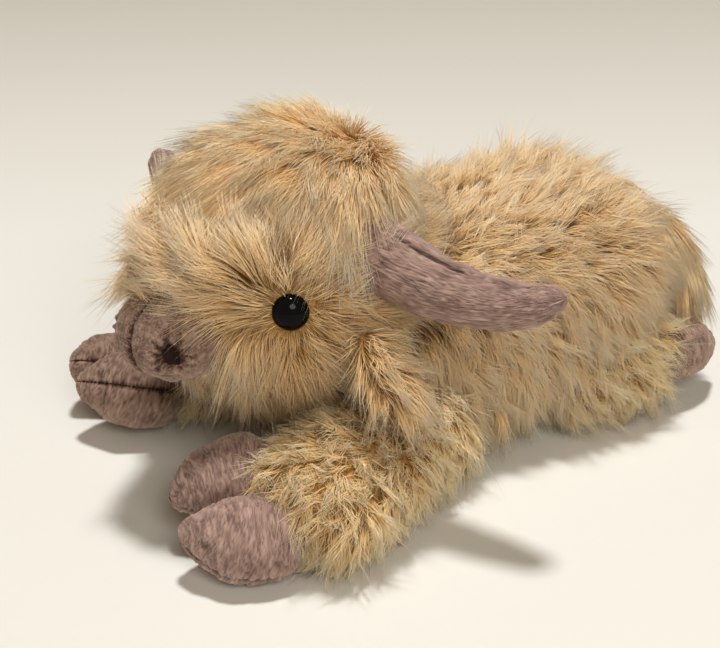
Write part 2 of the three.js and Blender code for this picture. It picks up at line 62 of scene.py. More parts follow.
LEGS = {
    "front_leg_left": Sizes(x=46, y=-64, ball=26, end=(82, -152), toe=(61, -160), half=(33, 25),
                            way=-1, heading=-14, pitch=0, roll=17, density=0.95, seam_turn=196),
    "front_leg_right": Sizes(x=-46, y=-64, ball=26, end=(-71, -140), toe=(-68, -155), half=(35, 25),
                             way=-1, heading=-14, pitch=14, roll=-10, density=1.0, seam_turn=158),
    "hind_leg_left": Sizes(x=37, y=30, ball=27, end=(36, 78), toe=(33, 82), half=(29, 27),
                           way=1, heading=4, pitch=0, roll=-22, density=1.3, seam_turn=90),
    "hind_leg_right": Sizes(x=-37, y=30, ball=27, end=(-36, 78), toe=(-33, 82), half=(29, 27),
                            way=1, heading=-4, pitch=0, roll=22, density=0.85, seam_turn=90),
}
TOE = Sizes(length=51, half_width=18.5, half_height=17.5, ahead=27, apart=17.5, tip_shift=7,
            hind_share=0.84, tip_rise=4.0, tip_turn=4.0, spread=0.05, stitched_rows=(30, 104))
TAIL_ROOT, TAIL_BEND, TAIL_END = (2, 52, 105), (13, 84, 88), (39, 94, 44)
TAIL = Sizes(half_width=8, half_thick=7)
TUFT = Sizes(half_width=16, half_thick=7.5, bulge=3)
FLAT = 0.5
SKIN_DEPTH = Sizes(torso=6, head=8, leg=5, forelock=7.5, tail=3, tuft=4, ear=2)
SEAT_REACH = 0.4
LEG_ROOM, LOCK_OVERLAP = 1.5, 0.5
SWING_ANGLES = (0, 10, 20)

# Where the pile parts and how long it grows, in millimetres
HEAD_FUR = Sizes(nose=(0, -92, -4), bridge=(0, -88, -4), bridge_span=(20, 40), level_span=(4, 30),
                 hang_span=(-14, 34), swirl=38, eye_span=(7, 18), brow_low=(0, 14), brow_top=(20, 36),
                 brow_ahead=(50, 80), lock_span=(26, 40), flat_by_eye=30, eye_clear=7.4,
                 neck_span=(34, 24), pull_span=(20, 44), side_seam=(-2, 2), middle=(-26, -30))
HEAD_PILE = Sizes(at_eye=5, beyond=15, brow=13, hang=4, under_lock=8)
TORSO_FUR = Sizes(rear_span=(40, 90), by_tail=18, rump=44, rump_reach=22, side_seam=(-2, 2), middle=(8, 12))
TORSO_PILE = Sizes(flank=18, back=3, rump=8)
BELLY_HEIGHT = 14
LEG_FUR = Sizes(root_z=20, foot_z=10)
LEG_PILE = Sizes(sleeve=13, foot=2)
LOCK_FUR = Sizes(front_span=(25, 60), edge_span=(22, 44), horn=(42, -24), horn_reach=9, crown=(0, 24, 60),
                 crown_reach=20, eye_ahead=(28, 42), eye_aside=(12, 24), foot_span=(36, 44))
LOCK_PILE = Sizes(crown=20, edge=3, front=9, horn=6)
FRINGE = Sizes(centre=(45, -22, 42), radius=7)
TAIL_PILE = Sizes(root=9, away=8, away_span=16, tuft=20)
TUFT_LEAN = (0, -12, 0)
EAR_PILE = 15

# The short plush's seams, gathers and puckers, in millimetres
SEAM = Sizes(nose_width=1.5, nose_depth=1.9, horn_depth=1.5, toe_depth=1.2)
GATHERS = Sizes(horn=0.25, toe=0.22)
# dark is how far the painted shade round each nostril reaches
PUCKER = Sizes(behind=8, folds_at=6.6, folds=2.6, fold_rise=0.8, pit=5.0, pit_depth=4.2, rim_at=7.2, rim=2.4,
               rim_rise=0.7, dark=5.6)

# Sizes in metres, and waves per metre, of the fur's curls and of the short pile's creases
CURL_DRIFT, CURL_WAVES = 0.007, 260.0
CREASE_BEND, BEND_WAVES = 0.004, 160.0


def srgb(code):
    """A colour of six hex digits, as linear values."""
    shares = [int(code[i:i + 2], 16) / 255 for i in (0, 2, 4)]
    return tuple(s / 12.92 if s <= 0.04045 else ((s + 0.055) / 1.055) ** 2.4 for s in shares) + (1.0,)


def unit(vectors):
    return vectors / np.maximum(np.linalg.norm(vectors, axis=-1, keepdims=True), 1e-9)


def smooth(values, low, high):
    share = np.clip((values - low) / (high - low), 0, 1)
    return share * share * (3 - 2 * share)


def bell(values, reach):
    return np.exp(-(values / reach) ** 2)


def lengths(vectors):
    return np.linalg.norm(vectors, axis=1)


def placed(points, matrix):
    grid = np.array(matrix)
    return points @ grid[:3, :3].T + grid[:3, 3]


def spin(degrees, axis):
    return Matrix.Rotation(math.radians(degrees), 4, axis)


head_frame = Matrix.Translation(Vector(NECK)) @ spin(HEAD_TURN, "Z") @ spin(HEAD_ROLL, "Y")
head_axes = np.array(head_frame.to_3x3())
to_head = head_frame.inverted()


def through(values, shares):
    """Runs smoothly through a list of values or points, as the shares go from 0 to 1."""
    values = np.asarray(values, float).reshape(len(values), -1)
    line = np.vstack([2 * values[0] - values[1], values, 2 * values[-1] - values[-2]])
    place = np.clip(shares, 0, 1) * (len(values) - 1)
    first = np.minimum(place.astype(int), len(values) - 2)
    t = (place - first)[:, None]
    a, b, c, d = (line[first + i] for i in range(4))
    return b + 0.5 * t * (c - a + t * (2 * a - 5 * b + 4 * c - d + t * (3 * (b - c) + d - a)))


def ring_faces(rows, sides):
    """The faces of a closed form whose points are one end, rows of points all round, and the other end."""
    faces = []
    for i in range(sides):
        j = (i + 1) % sides
        faces.append((0, 1 + i, 1 + j))
        for first in range(1, 1 + (rows - 1) * sides, sides):
            faces.append((first + i, first + sides + i, first + sides + j, first + j))
        last = 1 + (rows - 1) * sides
        faces.append((last + i, last + sides, last + j))
    return faces


class Form:
    """A closed form that swells and tapers along a spine, in millimetres."""

    def __init__(self, spine, across, tall, rings=28, sides=36, start=0.2, end=0.2, square=1.0):
        shares = (1 - np.cos(np.pi * np.arange(rings + 1) / rings)) / 2
        nudge = 1e-3
        after, before = shares + nudge * (shares < 1), shares - nudge * (shares > 0)
        ahead = unit(through(spine, after) - through(spine, before))
        side = unit(np.cross(ahead, (0, 0, 1)))
        rise = np.cross(side, ahead)

        def cap(share, rounding):
            return np.sqrt(1 - (1 - np.minimum(share / rounding, 1)) ** 2)

        full = cap(shares, start) * cap(1 - shares, end)

        def swell(halves, way, around):
            size = (through(halves, shares)[:, 0] * full)[:, None, None]
            return size * way[:, None, :] * around[None, :, None]

        turns = 2 * np.pi * (np.arange(sides) + 0.5) / sides
        level, upright = (np.sign(v) * np.abs(v) ** square for v in (np.cos(turns), np.sin(turns)))
        centres = through(spine, shares)
        rows = (centres[:, None, :] + swell(across, side, level) + swell(tall, rise, upright))[1:-1]
        self.points = np.vstack([centres[:1], rows.reshape(-1, 3), centres[-1:]])
        self.share = np.concatenate([[0], np.repeat(shares[1:-1], sides), [1]])
        self.turn = np.concatenate([[0], np.tile(turns, rings - 1), [0]])
        self.faces = ring_faces(rings - 1, sides)

    def move(self, matrix):
        self.points = placed(self.points, matrix)
        return self


def add_object(name, data):
    thing = bpy.data.objects.new(name, data)
    bpy.context.scene.collection.objects.link(thing)
    return thing


def mesh_piece(name, points, faces):
    """A mesh object from points in millimetres, with its faces turned outwards."""
    mesh = bpy.data.meshes.new(name)
    mesh.from_pydata((np.asarray(points) * MM).tolist(), [], faces)
    mesh.shade_smooth()
    mesh.update()
    return add_object(name, mesh)


def egg(centre, halves, rings=24, sides=32):
    polar = np.pi * np.arange(1, rings) / rings
    turns = 2 * np.pi * np.arange(sides) / sides
    grid = np.stack([np.outer(np.sin(polar), np.cos(turns)), np.outer(np.sin(polar), np.sin(turns)),
                     np.outer(np.cos(polar), np.ones(sides))], -1).reshape(-1, 3)
    points = np.vstack([[0, 0, 1], grid, [0, 0, -1]]) * halves + centre
    return points, ring_faces(rings - 1, sides)


def plain_mesh(piece):
    """Applies what the piece's modifiers make, takes the modifiers off and shades it smooth."""
    bpy.context.view_layer.update()
    graph = bpy.context.evaluated_depsgraph_get()
    seen_piece = piece.evaluated_get(graph)
    made = bpy.data.meshes.new_from_object(seen_piece, preserve_all_data_layers=True, depsgraph=graph)
    piece.modifiers.clear()
    old = piece.data
    piece.data = made
    made.name = piece.name
    made.shade_smooth()
    bpy.data.meshes.remove(old)


def carve(piece, tools, operation="DIFFERENCE"):
    """Cuts the tools out of a piece, or joins them on, and removes them."""
    for tool in tools:
        step = piece.modifiers.new("carve", "BOOLEAN")
        step.object = tool
        step.operation = operation
        step.solver = "MANIFOLD"
    plain_mesh(piece)
    for tool in tools:
        bpy.data.objects.remove(tool)


# The node trees
SOCKETS = {float: "NodeSocketFloat", int: "NodeSocketInt", tuple: "NodeSocketVector"}


def add_inputs(tree, inputs):
    """Adds named inputs. Each has the value that it starts from, or else the kind of its socket."""
    for name, value in inputs.items():
        kind = SOCKETS.get(type(value), value)
        socket = tree.interface.new_socket(name, in_out="INPUT", socket_type=kind)
        if kind != value:
            socket.default_value = value


def in_words(settings):
    """Settings keyed by the names that sockets bear: strand_radius becomes Strand radius."""
    return {key.replace("_", " ").capitalize(): value for key, value in settings.items()}


class Nodes:
    """Adds nodes to a tree. A value is a socket to link or a number to set."""

    def __init__(self, tree):
        self.tree = tree

    def feed(self, socket, value):
        if isinstance(value, bpy.types.NodeSocket):
            self.tree.links.new(value, socket)
        elif value is not None:
            socket.default_value = value

    def add(self, kind, inputs=None, **settings):
        node = self.tree.nodes.new(kind)
        for key, value in settings.items():
            setattr(node, key, value)
        for key, value in (inputs or {}).items():
            self.feed(node.inputs[key], value)
        return node

    def math(self, operation, *values):
        node = self.add("ShaderNodeMath", operation=operation)
        for socket, value in zip(node.inputs, values):
            self.feed(socket, value)
        return node.outputs[0]

    plus = partialmethod(math, "ADD")
    less = partialmethod(math, "SUBTRACT")
    times = partialmethod(math, "MULTIPLY")
    times_plus = partialmethod(math, "MULTIPLY_ADD")

    def vector(self, operation, *values):
        node = self.add("ShaderNodeVectorMath", operation=operation)
        sockets = [node.inputs[0], node.inputs["Scale"]] if operation == "SCALE" else node.inputs
        for socket, value in zip(sockets, values):
            self.feed(socket, value)
        return node.outputs["Value" if operation in ("DOT_PRODUCT", "LENGTH") else "Vector"]

    scaled = partialmethod(vector, "SCALE")

    def total(self, first, *others):
        for other in others:
            first = self.vector("ADD", first, other)
        return first

    def parts(self, vector):
        return self.add("ShaderNodeSeparateXYZ", {"Vector": vector}).outputs

    def joined(self, **parts):
        return self.add("ShaderNodeCombineXYZ", parts).outputs[0]

    def noise(self, vector, scale, **inputs):
        given = {"Vector": vector, "Scale": scale, **in_words(inputs)}
        return self.add("ShaderNodeTexNoise", given).outputs

    def position(self):
        return self.add("GeometryNodeInputPosition").outputs[0]

    def named(self, name, kind="FLOAT_VECTOR"):
        node = self.add("GeometryNodeInputNamedAttribute", {"Name": name}, data_type=kind)
        return node.outputs["Attribute"]

    def store(self, geometry, name, value, kind="FLOAT_VECTOR", domain="POINT"):
        given = {"Geometry": geometry, "Name": name, "Value": value}
        node = self.add("GeometryNodeStoreNamedAttribute", given, data_type=kind, domain=domain)
        return node.outputs["Geometry"]

    def repeated(self, points, instance, **inputs):
        """Copies of an instance on points, as real geometry."""
        given = {"Points": points, "Instance": instance, **inputs}
        laid = self.add("GeometryNodeInstanceOnPoints", given).outputs["Instances"]
        return self.add("GeometryNodeRealizeInstances", {"Geometry": laid}).outputs[0]


def geometry_tree(name, inputs, build):
    """A tree with named inputs. build(n, given) gives its geometry, which gets the Material input."""
    tree = bpy.data.node_groups.new(name, "GeometryNodeTree")
    add_inputs(tree, {"Geometry": "NodeSocketGeometry", **inputs, "Material": "NodeSocketMaterial"})
    tree.interface.new_socket("Geometry", in_out="OUTPUT", socket_type="NodeSocketGeometry")
    n = Nodes(tree)
    given = n.add("NodeGroupInput").outputs
    made = {"Geometry": build(n, given), "Material": given["Material"]}
    n.add("NodeGroupOutput", {"Geometry": n.add("GeometryNodeSetMaterial", made).outputs[0]})
    return tree


FUR_INPUTS = {
    "Strands per area": 600000.0,
    "Strand radius": 0.00017,
    "Clump size": 0.0055,
    "Clump pull": 0.8,
    "Clump scatter": 1.5,
    "Strand scatter": 0.4,
    "Droop": 0.2,
    "Sweep": 0.25,
    "Curl": 1.0,
    "Ragged": 0.45,
    "Steps": 2,
    "Seed": 1,
}
STRAND_SIDES = 3
FLOOR_CLEARANCE = 0.0006


def combed_fur(n, given):
    """Combed, clumped, tapering strands on a skin that carries comb, lift, pile, cover and pull."""
    density = n.times(given["Strands per area"], n.named("cover", "FLOAT"))
    spread = n.add("GeometryNodeDistributePointsOnFaces",
                   {"Mesh": given["Geometry"], "Density": density, "Seed": given["Seed"]})
    points = n.store(spread.outputs["Points"], "skin_normal", spread.outputs["Normal"])
    points = n.store(points, "root", n.position())
    chance = n.add("FunctionNodeRandomValue", {"Seed": given["Seed"]}, data_type="FLOAT_VECTOR")
    points = n.store(points, "chance", chance.outputs["Value"])
    strand = n.add("GeometryNodeMeshCone", {"Vertices": STRAND_SIDES, "Side Segments": given["Steps"],
                                            "Radius Top": 0.0, "Radius Bottom": 1.0, "Depth": 1.0})
    real = n.repeated(points, strand.outputs["Mesh"])

    # Each point's place on its strand
    root, normal = n.named("root"), n.named("skin_normal")
    local = n.parts(n.vector("SUBTRACT", n.position(), root))
    along = local["Z"]
    luck = n.parts(n.named("chance"))

    # The clump that the strand belongs to
    per_metre = n.math("DIVIDE", 1.0, given["Clump size"])
    cells = n.add("ShaderNodeTexVoronoi", {"Vector": root, "Scale": per_metre})
    tint = n.parts(cells.outputs["Color"])
    inward = n.vector("SUBTRACT", cells.outputs["Position"], root)
    sunk = n.scaled(normal, n.vector("DOT_PRODUCT", inward, normal))
    inward = n.vector("SUBTRACT", inward, sunk)

    # The direction in which it grows
    turn = n.times(n.less(tint["X"], 0.5), given["Clump scatter"])
    turn = n.times_plus(n.less(luck["X"], 0.5), given["Strand scatter"], turn)
    combed = n.add("ShaderNodeVectorRotate", {"Vector": n.named("comb"), "Axis": normal, "Angle": turn})
    combed = combed.outputs[0]
    wild = n.plus(n.times(n.less(tint["Y"], 0.5), 0.5), n.times(n.less(luck["Y"], 0.5), 0.25))
    lift = n.times(n.named("lift", "FLOAT"), n.plus(wild, 1.0))
    grown = n.total(n.scaled(combed, n.less(1.0, lift)), n.scaled(normal, lift))
    grown = n.vector("NORMALIZE", grown)
    uneven = n.plus(n.times(n.less(luck["Z"], 0.6), given["Ragged"]),
                    n.times(n.less(tint["Z"], 0.5), given["Ragged"]))
    length = n.times(n.named("pile", "FLOAT"), n.plus(uneven, 1.0))

    # The strand's curve: straight at its root, then swept, drooping, curled and drawn to its clump
    bent = n.total(n.scaled(combed, given["Sweep"]), n.scaled(n.joined(Z=-1.0), given["Droop"]))
    drift = n.scaled(grown, n.times(along, CURL_DRIFT))
    source = n.total(n.scaled(root, 0.25), n.scaled(cells.outputs["Position"], 0.75), drift)
    wave = n.vector("SUBTRACT", n.noise(source, CURL_WAVES, detail=1.0)["Color"], (0.5, 0.5, 0.5))
    bent = n.scaled(n.total(bent, n.scaled(wave, given["Curl"])), length)
    pull = n.times(given["Clump pull"], n.named("pull", "FLOAT"))
    pulled = n.times(pull, n.math("POWER", along, 1.3))
    middle = n.total(root, n.scaled(grown, n.times(length, along)), n.scaled(bent, n.times(along, along)),
                     n.scaled(inward, pulled))

    # Its thickness
    heading = n.total(n.scaled(grown, length), n.scaled(bent, n.times(along, 2.0)))
    heading = n.vector("NORMALIZE", heading)
    tilted = n.vector("ADD", normal, (0.01, 0.02, 0.03))
    side = n.vector("NORMALIZE", n.vector("CROSS_PRODUCT", heading, tilted))
    other = n.vector("CROSS_PRODUCT", side, heading)
    taper = n.times(n.times_plus(along, 1.4, 1.0), n.times_plus(luck["Y"], 0.6, 0.7))
    fuller = n.times(given["Strand radius"], taper)
    off = n.total(n.scaled(side, n.times(local["X"], fuller)), n.scaled(other, n.times(local["Y"], fuller)))
    place = n.parts(n.total(middle, off))
    place = n.joined(X=place["X"], Y=place["Y"], Z=n.math("MAXIMUM", place["Z"], FLOOR_CLEARANCE))

    # The shade across its map and the way along it up the map
    shade = n.plus(n.times(tint["X"], 0.5), n.times(luck["Z"], 0.44))
    shade = n.plus(n.times_plus(local["X"], 0.006, 0.03), shade)
    marked = n.store(real, "OFBake", n.joined(X=shade, Y=along), "FLOAT2", "CORNER")
    return n.add("GeometryNodeSetPosition", {"Geometry": marked, "Position": place}).outputs[0]


CRIMP_INPUTS = {
    "Streak": (1.0, 1.0, 1.0),
    "Streak depth": 0.0004,
    "Lump size": 0.007,
    "Lump depth": 0.0008,
}


def crimped_pile(n, given):
    """Creases short pile into fine streaks and soft lumps, and stores a tone for its colour: random across
    the streaks, with painted shade where the pile is sunk and in seams, folds and pits.
    """
    own = n.named("own")
    bend = n.vector("SUBTRACT", n.noise(own, BEND_WAVES, detail=1.0)["Color"], (0.5, 0.5, 0.5))
    source = n.vector("DIVIDE", n.total(own, n.scaled(bend, CREASE_BEND)), given["Streak"])
    streaks = n.noise(source, 1.0, detail=2.0, roughness=0.6)["Fac"]
    lumps = n.noise(n.scaled(own, n.math("DIVIDE", 1.0, given["Lump size"])), 1.0, detail=2.0)["Fac"]
    line = n.math("MINIMUM", n.times(n.math("ABSOLUTE", n.less(streaks, 0.5)), 11.0), 1.0)
    raised = n.times(n.less(line, 1.0), n.times(given["Streak depth"], 0.4))
    raised = n.times_plus(n.less(lumps, 0.5), given["Lump depth"], raised)
    # Painted shade: darker in the sunk lines and in the hollows between lumps.
    crease_shade = n.times_plus(n.less(streaks, 0.5), 0.5, n.times_plus(line, 0.34, 0.2))
    crease_shade = n.times_plus(n.less(lumps, 0.5), 0.6, crease_shade)
    crease_shade = n.plus(crease_shade, n.named("groove_shade", "FLOAT"))
    offset = n.scaled(n.add("GeometryNodeInputNormal").outputs[0], n.times(raised, 2.0))
    marked = n.store(given["Geometry"], "crease_shade", crease_shade, "FLOAT")
    return n.add("GeometryNodeSetPosition", {"Geometry": marked, "Offset": offset}).outputs[0]


STITCH_INPUTS = {
    "Stitch spacing": 0.0022,
    "Stitch size": (0.0003, 0.0003, 0.0008),
}


def stitches(n, given):
    """Lays short stitches of thread end to end along a line."""
    line = n.add("GeometryNodeMeshToCurve", {"Mesh": given["Geometry"]}).outputs[0]
    spacing = {"Curve": line, "Length": given["Stitch spacing"]}
    spots = n.add("GeometryNodeCurveToPoints", spacing, mode="LENGTH").outputs
    thread = n.add("GeometryNodeMeshUVSphere", {"Segments": 8, "Rings": 6, "Radius": 1.0}).outputs["Mesh"]
    return n.repeated(spots["Points"], thread, Rotation=spots["Rotation"], Scale=given["Stitch size"])


fur_nodes = geometry_tree("combed_fur", FUR_INPUTS, combed_fur)
crimp_nodes = geometry_tree("crimped_pile", CRIMP_INPUTS, crimped_pile)
stitch_nodes = geometry_tree("stitches", STITCH_INPUTS, stitches)


def run_tree(piece, tree, settings):
    """Runs a node tree on a piece, with its inputs set by name, and keeps the plain mesh that it makes."""
    maker = piece.modifiers.new(tree.name, "NODES")
    maker.node_group = tree
    for item in tree.interface.items_tree:
        if item.in_out == "INPUT" and item.name in settings:
            maker[item.identifier] = settings[item.name]
    plain_mesh(piece)


FIELDS = ("comb", "lift", "pile", "cover", "pull")
EAR_SEED, LEG_SEED = 30, 40


def write_field(mesh, name, values):
    kind = "FLOAT_VECTOR" if values.ndim == 2 else "FLOAT"
    field = mesh.attributes.get(name) or mesh.attributes.new(name, kind, "POINT")
    field.data.foreach_set("vector" if values.ndim == 2 else "value", values.astype(np.float32).ravel())


def drop_fields(mesh, names):
    for name in names:
        if name in mesh.attributes:
            mesh.attributes.remove(mesh.attributes[name])


def read_points(mesh):
    """The points in millimetres and the normals of a mesh."""
    points, normals = np.empty((2, len(mesh.vertices) * 3), np.float32)
    mesh.vertices.foreach_get("co", points)
    mesh.vertex_normals.foreach_get("vector", normals)
    return points.reshape(-1, 3).astype(float) / MM, normals.reshape(-1, 3).astype(float)


def write_points(mesh, points):
    mesh.vertices.foreach_set("co", (points * MM).astype(np.float32).ravel())
    mesh.update()


def comb_skin(skin, rule, seats=()):
    """Writes on a skin how its fur is combed. From points and normals, rule gives the comb, the lift,
    the pile in millimetres, the cover and the pull of the clumps. Nothing grows on a seat."""
    points, normals = read_points(skin.data)
    comb, lift, pile, cover, pull = rule(points, normals)
    comb = comb - normals * np.sum(comb * normals, axis=1, keepdims=True)
    count = len(points)
    cover = np.broadcast_to(cover, count).astype(float).copy()
    for seat in seats:
        for i, point in enumerate(points):
            gap = seat.find_nearest(Vector(point * MM))[3]
            if gap is not None and gap < SEAT_REACH * MM:
                cover[i] = 0
    for name, values in zip(FIELDS, (unit(comb), lift, np.multiply(pile, MM), cover, pull)):
        values = np.asarray(values, float)
        write_field(skin.data, name, values if values.ndim == 2 else np.broadcast_to(values, count))


def grow_fur(name, skin, body, material, slot, per_mm2, patch=None, **settings):
    """Grows one mesh of fur on a skin, or on the patch of it for which patch(points) is near 1."""
    fur = add_object(name, skin.data.copy())
    if patch is not None:
        points, _ = read_points(skin.data)
        cover = np.empty(len(points), np.float32)
        skin.data.attributes["cover"].data.foreach_get("value", cover)
        write_field(fur.data, "cover", cover * patch(points))
    density = per_mm2 * 1e6 * 1
    run_tree(fur, fur_nodes, {"Strands per area": density, "Material": material, **in_words(settings)})
    drop_fields(fur.data, FIELDS + ("skin_normal", "root", "chance"))
    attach(fur, body)


# Finishes
def finish(name, roughness, specular=0.3, sheen=0.0, sheen_tint="ffffff"):
    material = bpy.data.materials.new(name)
    material.use_nodes = True
    inputs = material.node_tree.nodes["Principled BSDF"].inputs
    settings = {"Roughness": roughness, "Specular IOR Level": specular, "Sheen Weight": sheen,
                "Sheen Roughness": 0.5, "Sheen Tint": srgb(sheen_tint)}
    for key, value in settings.items():
        inputs[key].default_value = value
    return material, Nodes(material.node_tree), inputs


def colour_ramp(n, value, stops):
    ramp = n.add("ShaderNodeValToRGB", {"Fac": value})
    band = ramp.color_ramp
    while len(band.elements) < len(stops):
        band.elements.new(1.0)
    for element, (place, code) in zip(band.elements, stops):
        element.position = place
        element.color = srgb(code)
    return ramp.outputs["Color"]


def fur_finish(name, roughness, dark_stops, pale_stops):
    """Strands that run from a dark root to a pale tip, some browner and some paler. The dark root is partly
    painted shade deep in the pile, and the pale tip is partly a painted highlight.
    """
    material, n, inputs = finish(name, roughness, specular=0.09, sheen=0.04, sheen_tint="ffd9a0")
    place = n.parts(n.add("ShaderNodeUVMap", uv_map="OFBake").outputs[0])
    blend = n.add("ShaderNodeMix", data_type="RGBA")
    for key, value in ((0, place["X"]), (6, colour_ramp(n, place["Y"], dark_stops)),
                       (7, colour_ramp(n, place["Y"], pale_stops))):
        n.feed(blend.inputs[key], value)
    n.feed(inputs["Base Color"], blend.outputs[2])
    return material


# Each ramp runs up a strand: its dark root is partly painted shade, and its pale tip is partly painted
# highlight.
long_fur = fur_finish("long_fur", 0.5,
                      [(0.0, "ae814e"), (0.28, "e8bd82"), (0.62, "fad8a2"), (1.0, "ffecca")],
                      [(0.0, "c4985f"), (0.28, "f8d296"), (0.58, "ffe3b8"), (1.0, "fff6e6")])
# The legs' fur: the long fur's colours made lighter, as painted light.
lit_leg_fur = fur_finish("lit_leg_fur", 0.5,
                       [(0.0, "b88a50"), (0.28, "f8cc86"), (0.62, "ffe0a6"), (1.0, "fff2d0")],
                       [(0.0, "cca062"), (0.28, "ffd898"), (0.58, "ffecc0"), (1.0, "fffbec")])
silky_fur = fur_finish("silky_fur", 0.36,
                       [(0.0, "d09a5c"), (0.2, "fec074"), (0.6, "ffd492"), (1.0, "ffe8b8")],
                       [(0.0, "e8b87c"), (0.2, "ffdca2"), (0.55, "ffecc6"), (1.0, "fffaec")])
fringe_fur = fur_finish("fringe_fur", 0.36,
                        [(0.0, "c8a878"), (0.3, "f4e2c2"), (1.0, "fffaf0")],
                        [(0.0, "d8bc90"), (0.3, "fbf0da"), (1.0, "ffffff")])


def soft_mottle_group():
    """Broad and fine patches of tone, as on brushed cloth. It puts out a share and a height."""
    tree = bpy.data.node_groups.new("brushed_cloth", "ShaderNodeTree")
    add_inputs(tree, {"Vector": "NodeSocketVector", "Patch scale": 60.0, "Pile scale": 1400.0})
    for name in ("Tone", "Height"):
        tree.interface.new_socket(name, in_out="OUTPUT", socket_type="NodeSocketFloat")
    n = Nodes(tree)
    given = n.add("NodeGroupInput").outputs
    patches = n.noise(given["Vector"], given["Patch scale"], detail=4.0, distortion=0.6)["Fac"]
    pile = n.noise(given["Vector"], given["Pile scale"], detail=3.0, roughness=0.7)["Fac"]
    n.add("NodeGroupOutput", {"Tone": n.plus(n.times(patches, 0.65), n.times(pile, 0.35)),
                              "Height": n.plus(n.times(pile, 0.6), n.times(patches, 0.4))})
    return tree


brushed_cloth = soft_mottle_group()


def cloth_finish(name, stops, roughness=0.95, sheen=0.1, sheen_tint="ffffff", patch_scale=90.0,
                 pile_scale=1500.0, depth=0.6, specular=0.2, bump=0.6, creased=False):
    """Brushed cloth. A creased one takes its tone from what the crimping stored, which holds painted shade
    in the creases.
    """
    material, n, inputs = finish(name, roughness, specular, sheen, sheen_tint)
    place = n.add("ShaderNodeTexCoord").outputs["Object"]
    given = {"Vector": place, "Patch scale": patch_scale, "Pile scale": pile_scale}
    cloth = n.add("ShaderNodeGroup", given, node_tree=brushed_cloth).outputs
    tone = cloth["Tone"]
    if creased:
        # Painted shade in the creases, seams and pits, from the crimping, mixed into the tone.
        crease_shade = n.add("ShaderNodeAttribute", attribute_name="crease_shade").outputs["Fac"]
        tone = n.plus(n.times(crease_shade, 0.7), n.times(tone, 0.3))
    n.feed(inputs["Base Color"], colour_ramp(n, tone, stops))
    raised = n.add("ShaderNodeBump", {"Height": cloth["Height"], "Strength": bump, "Distance": depth * MM})
    n.feed(inputs["Normal"], raised.outputs[0])
    return material


PLUSH = dict(roughness=0.92, sheen=0.55, sheen_tint="e2cdc2", patch_scale=110.0, pile_scale=2400.0,
             depth=0.35, specular=0.15, bump=0.5, creased=True)
suede_plush = cloth_finish(
    "suede_plush", [(0.18, "503e38"), (0.4, "947970"), (0.58, "b4988d"), (0.8, "d6bbaf")], **PLUSH)
# A darker copy of the suede plush. On the muzzle it is partly the muzzle's browner cloth and partly painted
# shade; on the far and hind toes it is painted shade.
muzzle_and_shade_plush = cloth_finish(
    "muzzle_and_shade_plush", [(0.18, "452821"), (0.4, "8a7062"), (0.58, "a88d7e"), (0.8, "c8afa1")], **PLUSH)
under_fur = cloth_finish("fur_backing", [(0.3, "a27640"), (0.7, "c8a060")], sheen_tint="e6cfa8")
# Dark cloth for the stitches and the nostril pits; in the pits its near-black is partly painted shade.
nostril_cloth = cloth_finish("nostril_cloth", [(0.3, "100706"), (0.7, "2c1613")], roughness=0.9,
                             sheen_tint="7a5a50", patch_scale=200.0, pile_scale=1800.0, depth=0.4)
filling_cloth = cloth_finish("fibre_filling", [(0.3, "dedbd2"), (0.7, "f4f2ec")], pile_scale=900.0)
bead_cloth = cloth_finish("bead_bag", [(0.3, "a8a194"), (0.7, "c4bdb0")], roughness=0.9,
                          patch_scale=140.0, pile_scale=1600.0, depth=0.5)


def gloss_finish(name, colour, roughness, scuff, specular):
    """Moulded plastic with the faintest uneven polish."""
    material, n, inputs = finish(name, roughness, specular)
    haze = n.noise(n.add("ShaderNodeTexCoord").outputs["Object"], 300.0, detail=3.0)["Fac"]
    n.feed(inputs["Roughness"], n.times_plus(haze, scuff, roughness))
    inputs["Base Color"].default_value = srgb(colour)
    return material


eye_plastic = gloss_finish("eye_plastic", "010102", roughness=0.04, scuff=0.02, specular=0.1)
washer_plastic = gloss_finish("washer_plastic", "e6e3dc", roughness=0.4, scuff=0.15, specular=0.5)


def paint(node, material):
    """Gives a CAD node that stays its finish."""
    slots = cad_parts[node].data.materials
    slots.clear()
    slots.append(material)


def settle(piece, body, material, nodes):
    """Gives a piece its finish and its body, and hides the CAD nodes that it stands in for."""
    piece.data.materials.clear()
    piece.data.materials.append(material)
    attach(piece, body)
    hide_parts(*nodes)


# The forms of the soft pieces, drawn in by a depth
def torso_form(inset, **detail):
    along = np.array([0, 0.1, 0.26, 0.48, 0.72, 0.88, 1])
    width = np.array([0.74, 0.84, 0.94, 0.98, 1, 0.86, 0.56])
    top = np.array([0.88, 0.93, 0.97, 1, 0.98, 0.84, 0.58]) * TORSO.height
    bottom = np.array([0.2, 0.06, 0, 0, 0.03, 0.14, 0.3]) * TORSO.height - FLAT
    y = TORSO.front + inset + along * (TORSO.length - 2 * inset)
    spine = np.stack([0 * y, y, (top + bottom) / 2], 1)
    return Form(spine, width * TORSO.half_width - inset, (top - bottom) / 2 - inset,
                start=0.1, end=0.3, square=0.8, **detail)


def face_form(inset, **detail):
    width = np.array([0.8, 0.97, 1, 0.98, 0.86, 0.62]) * HEAD.half_width - inset
    height = np.array([0.8, 0.96, 1, 0.99, 0.88, 0.62]) * HEAD.half_height - inset
    y = HEAD.rear - inset - np.linspace(0, 1, 6) * (HEAD.length - 2 * inset)
    spine = np.stack([0 * y, y, 0 * y + HEAD.z], 1)
    return Form(spine, width, height, start=0.34, end=0.36, **detail)


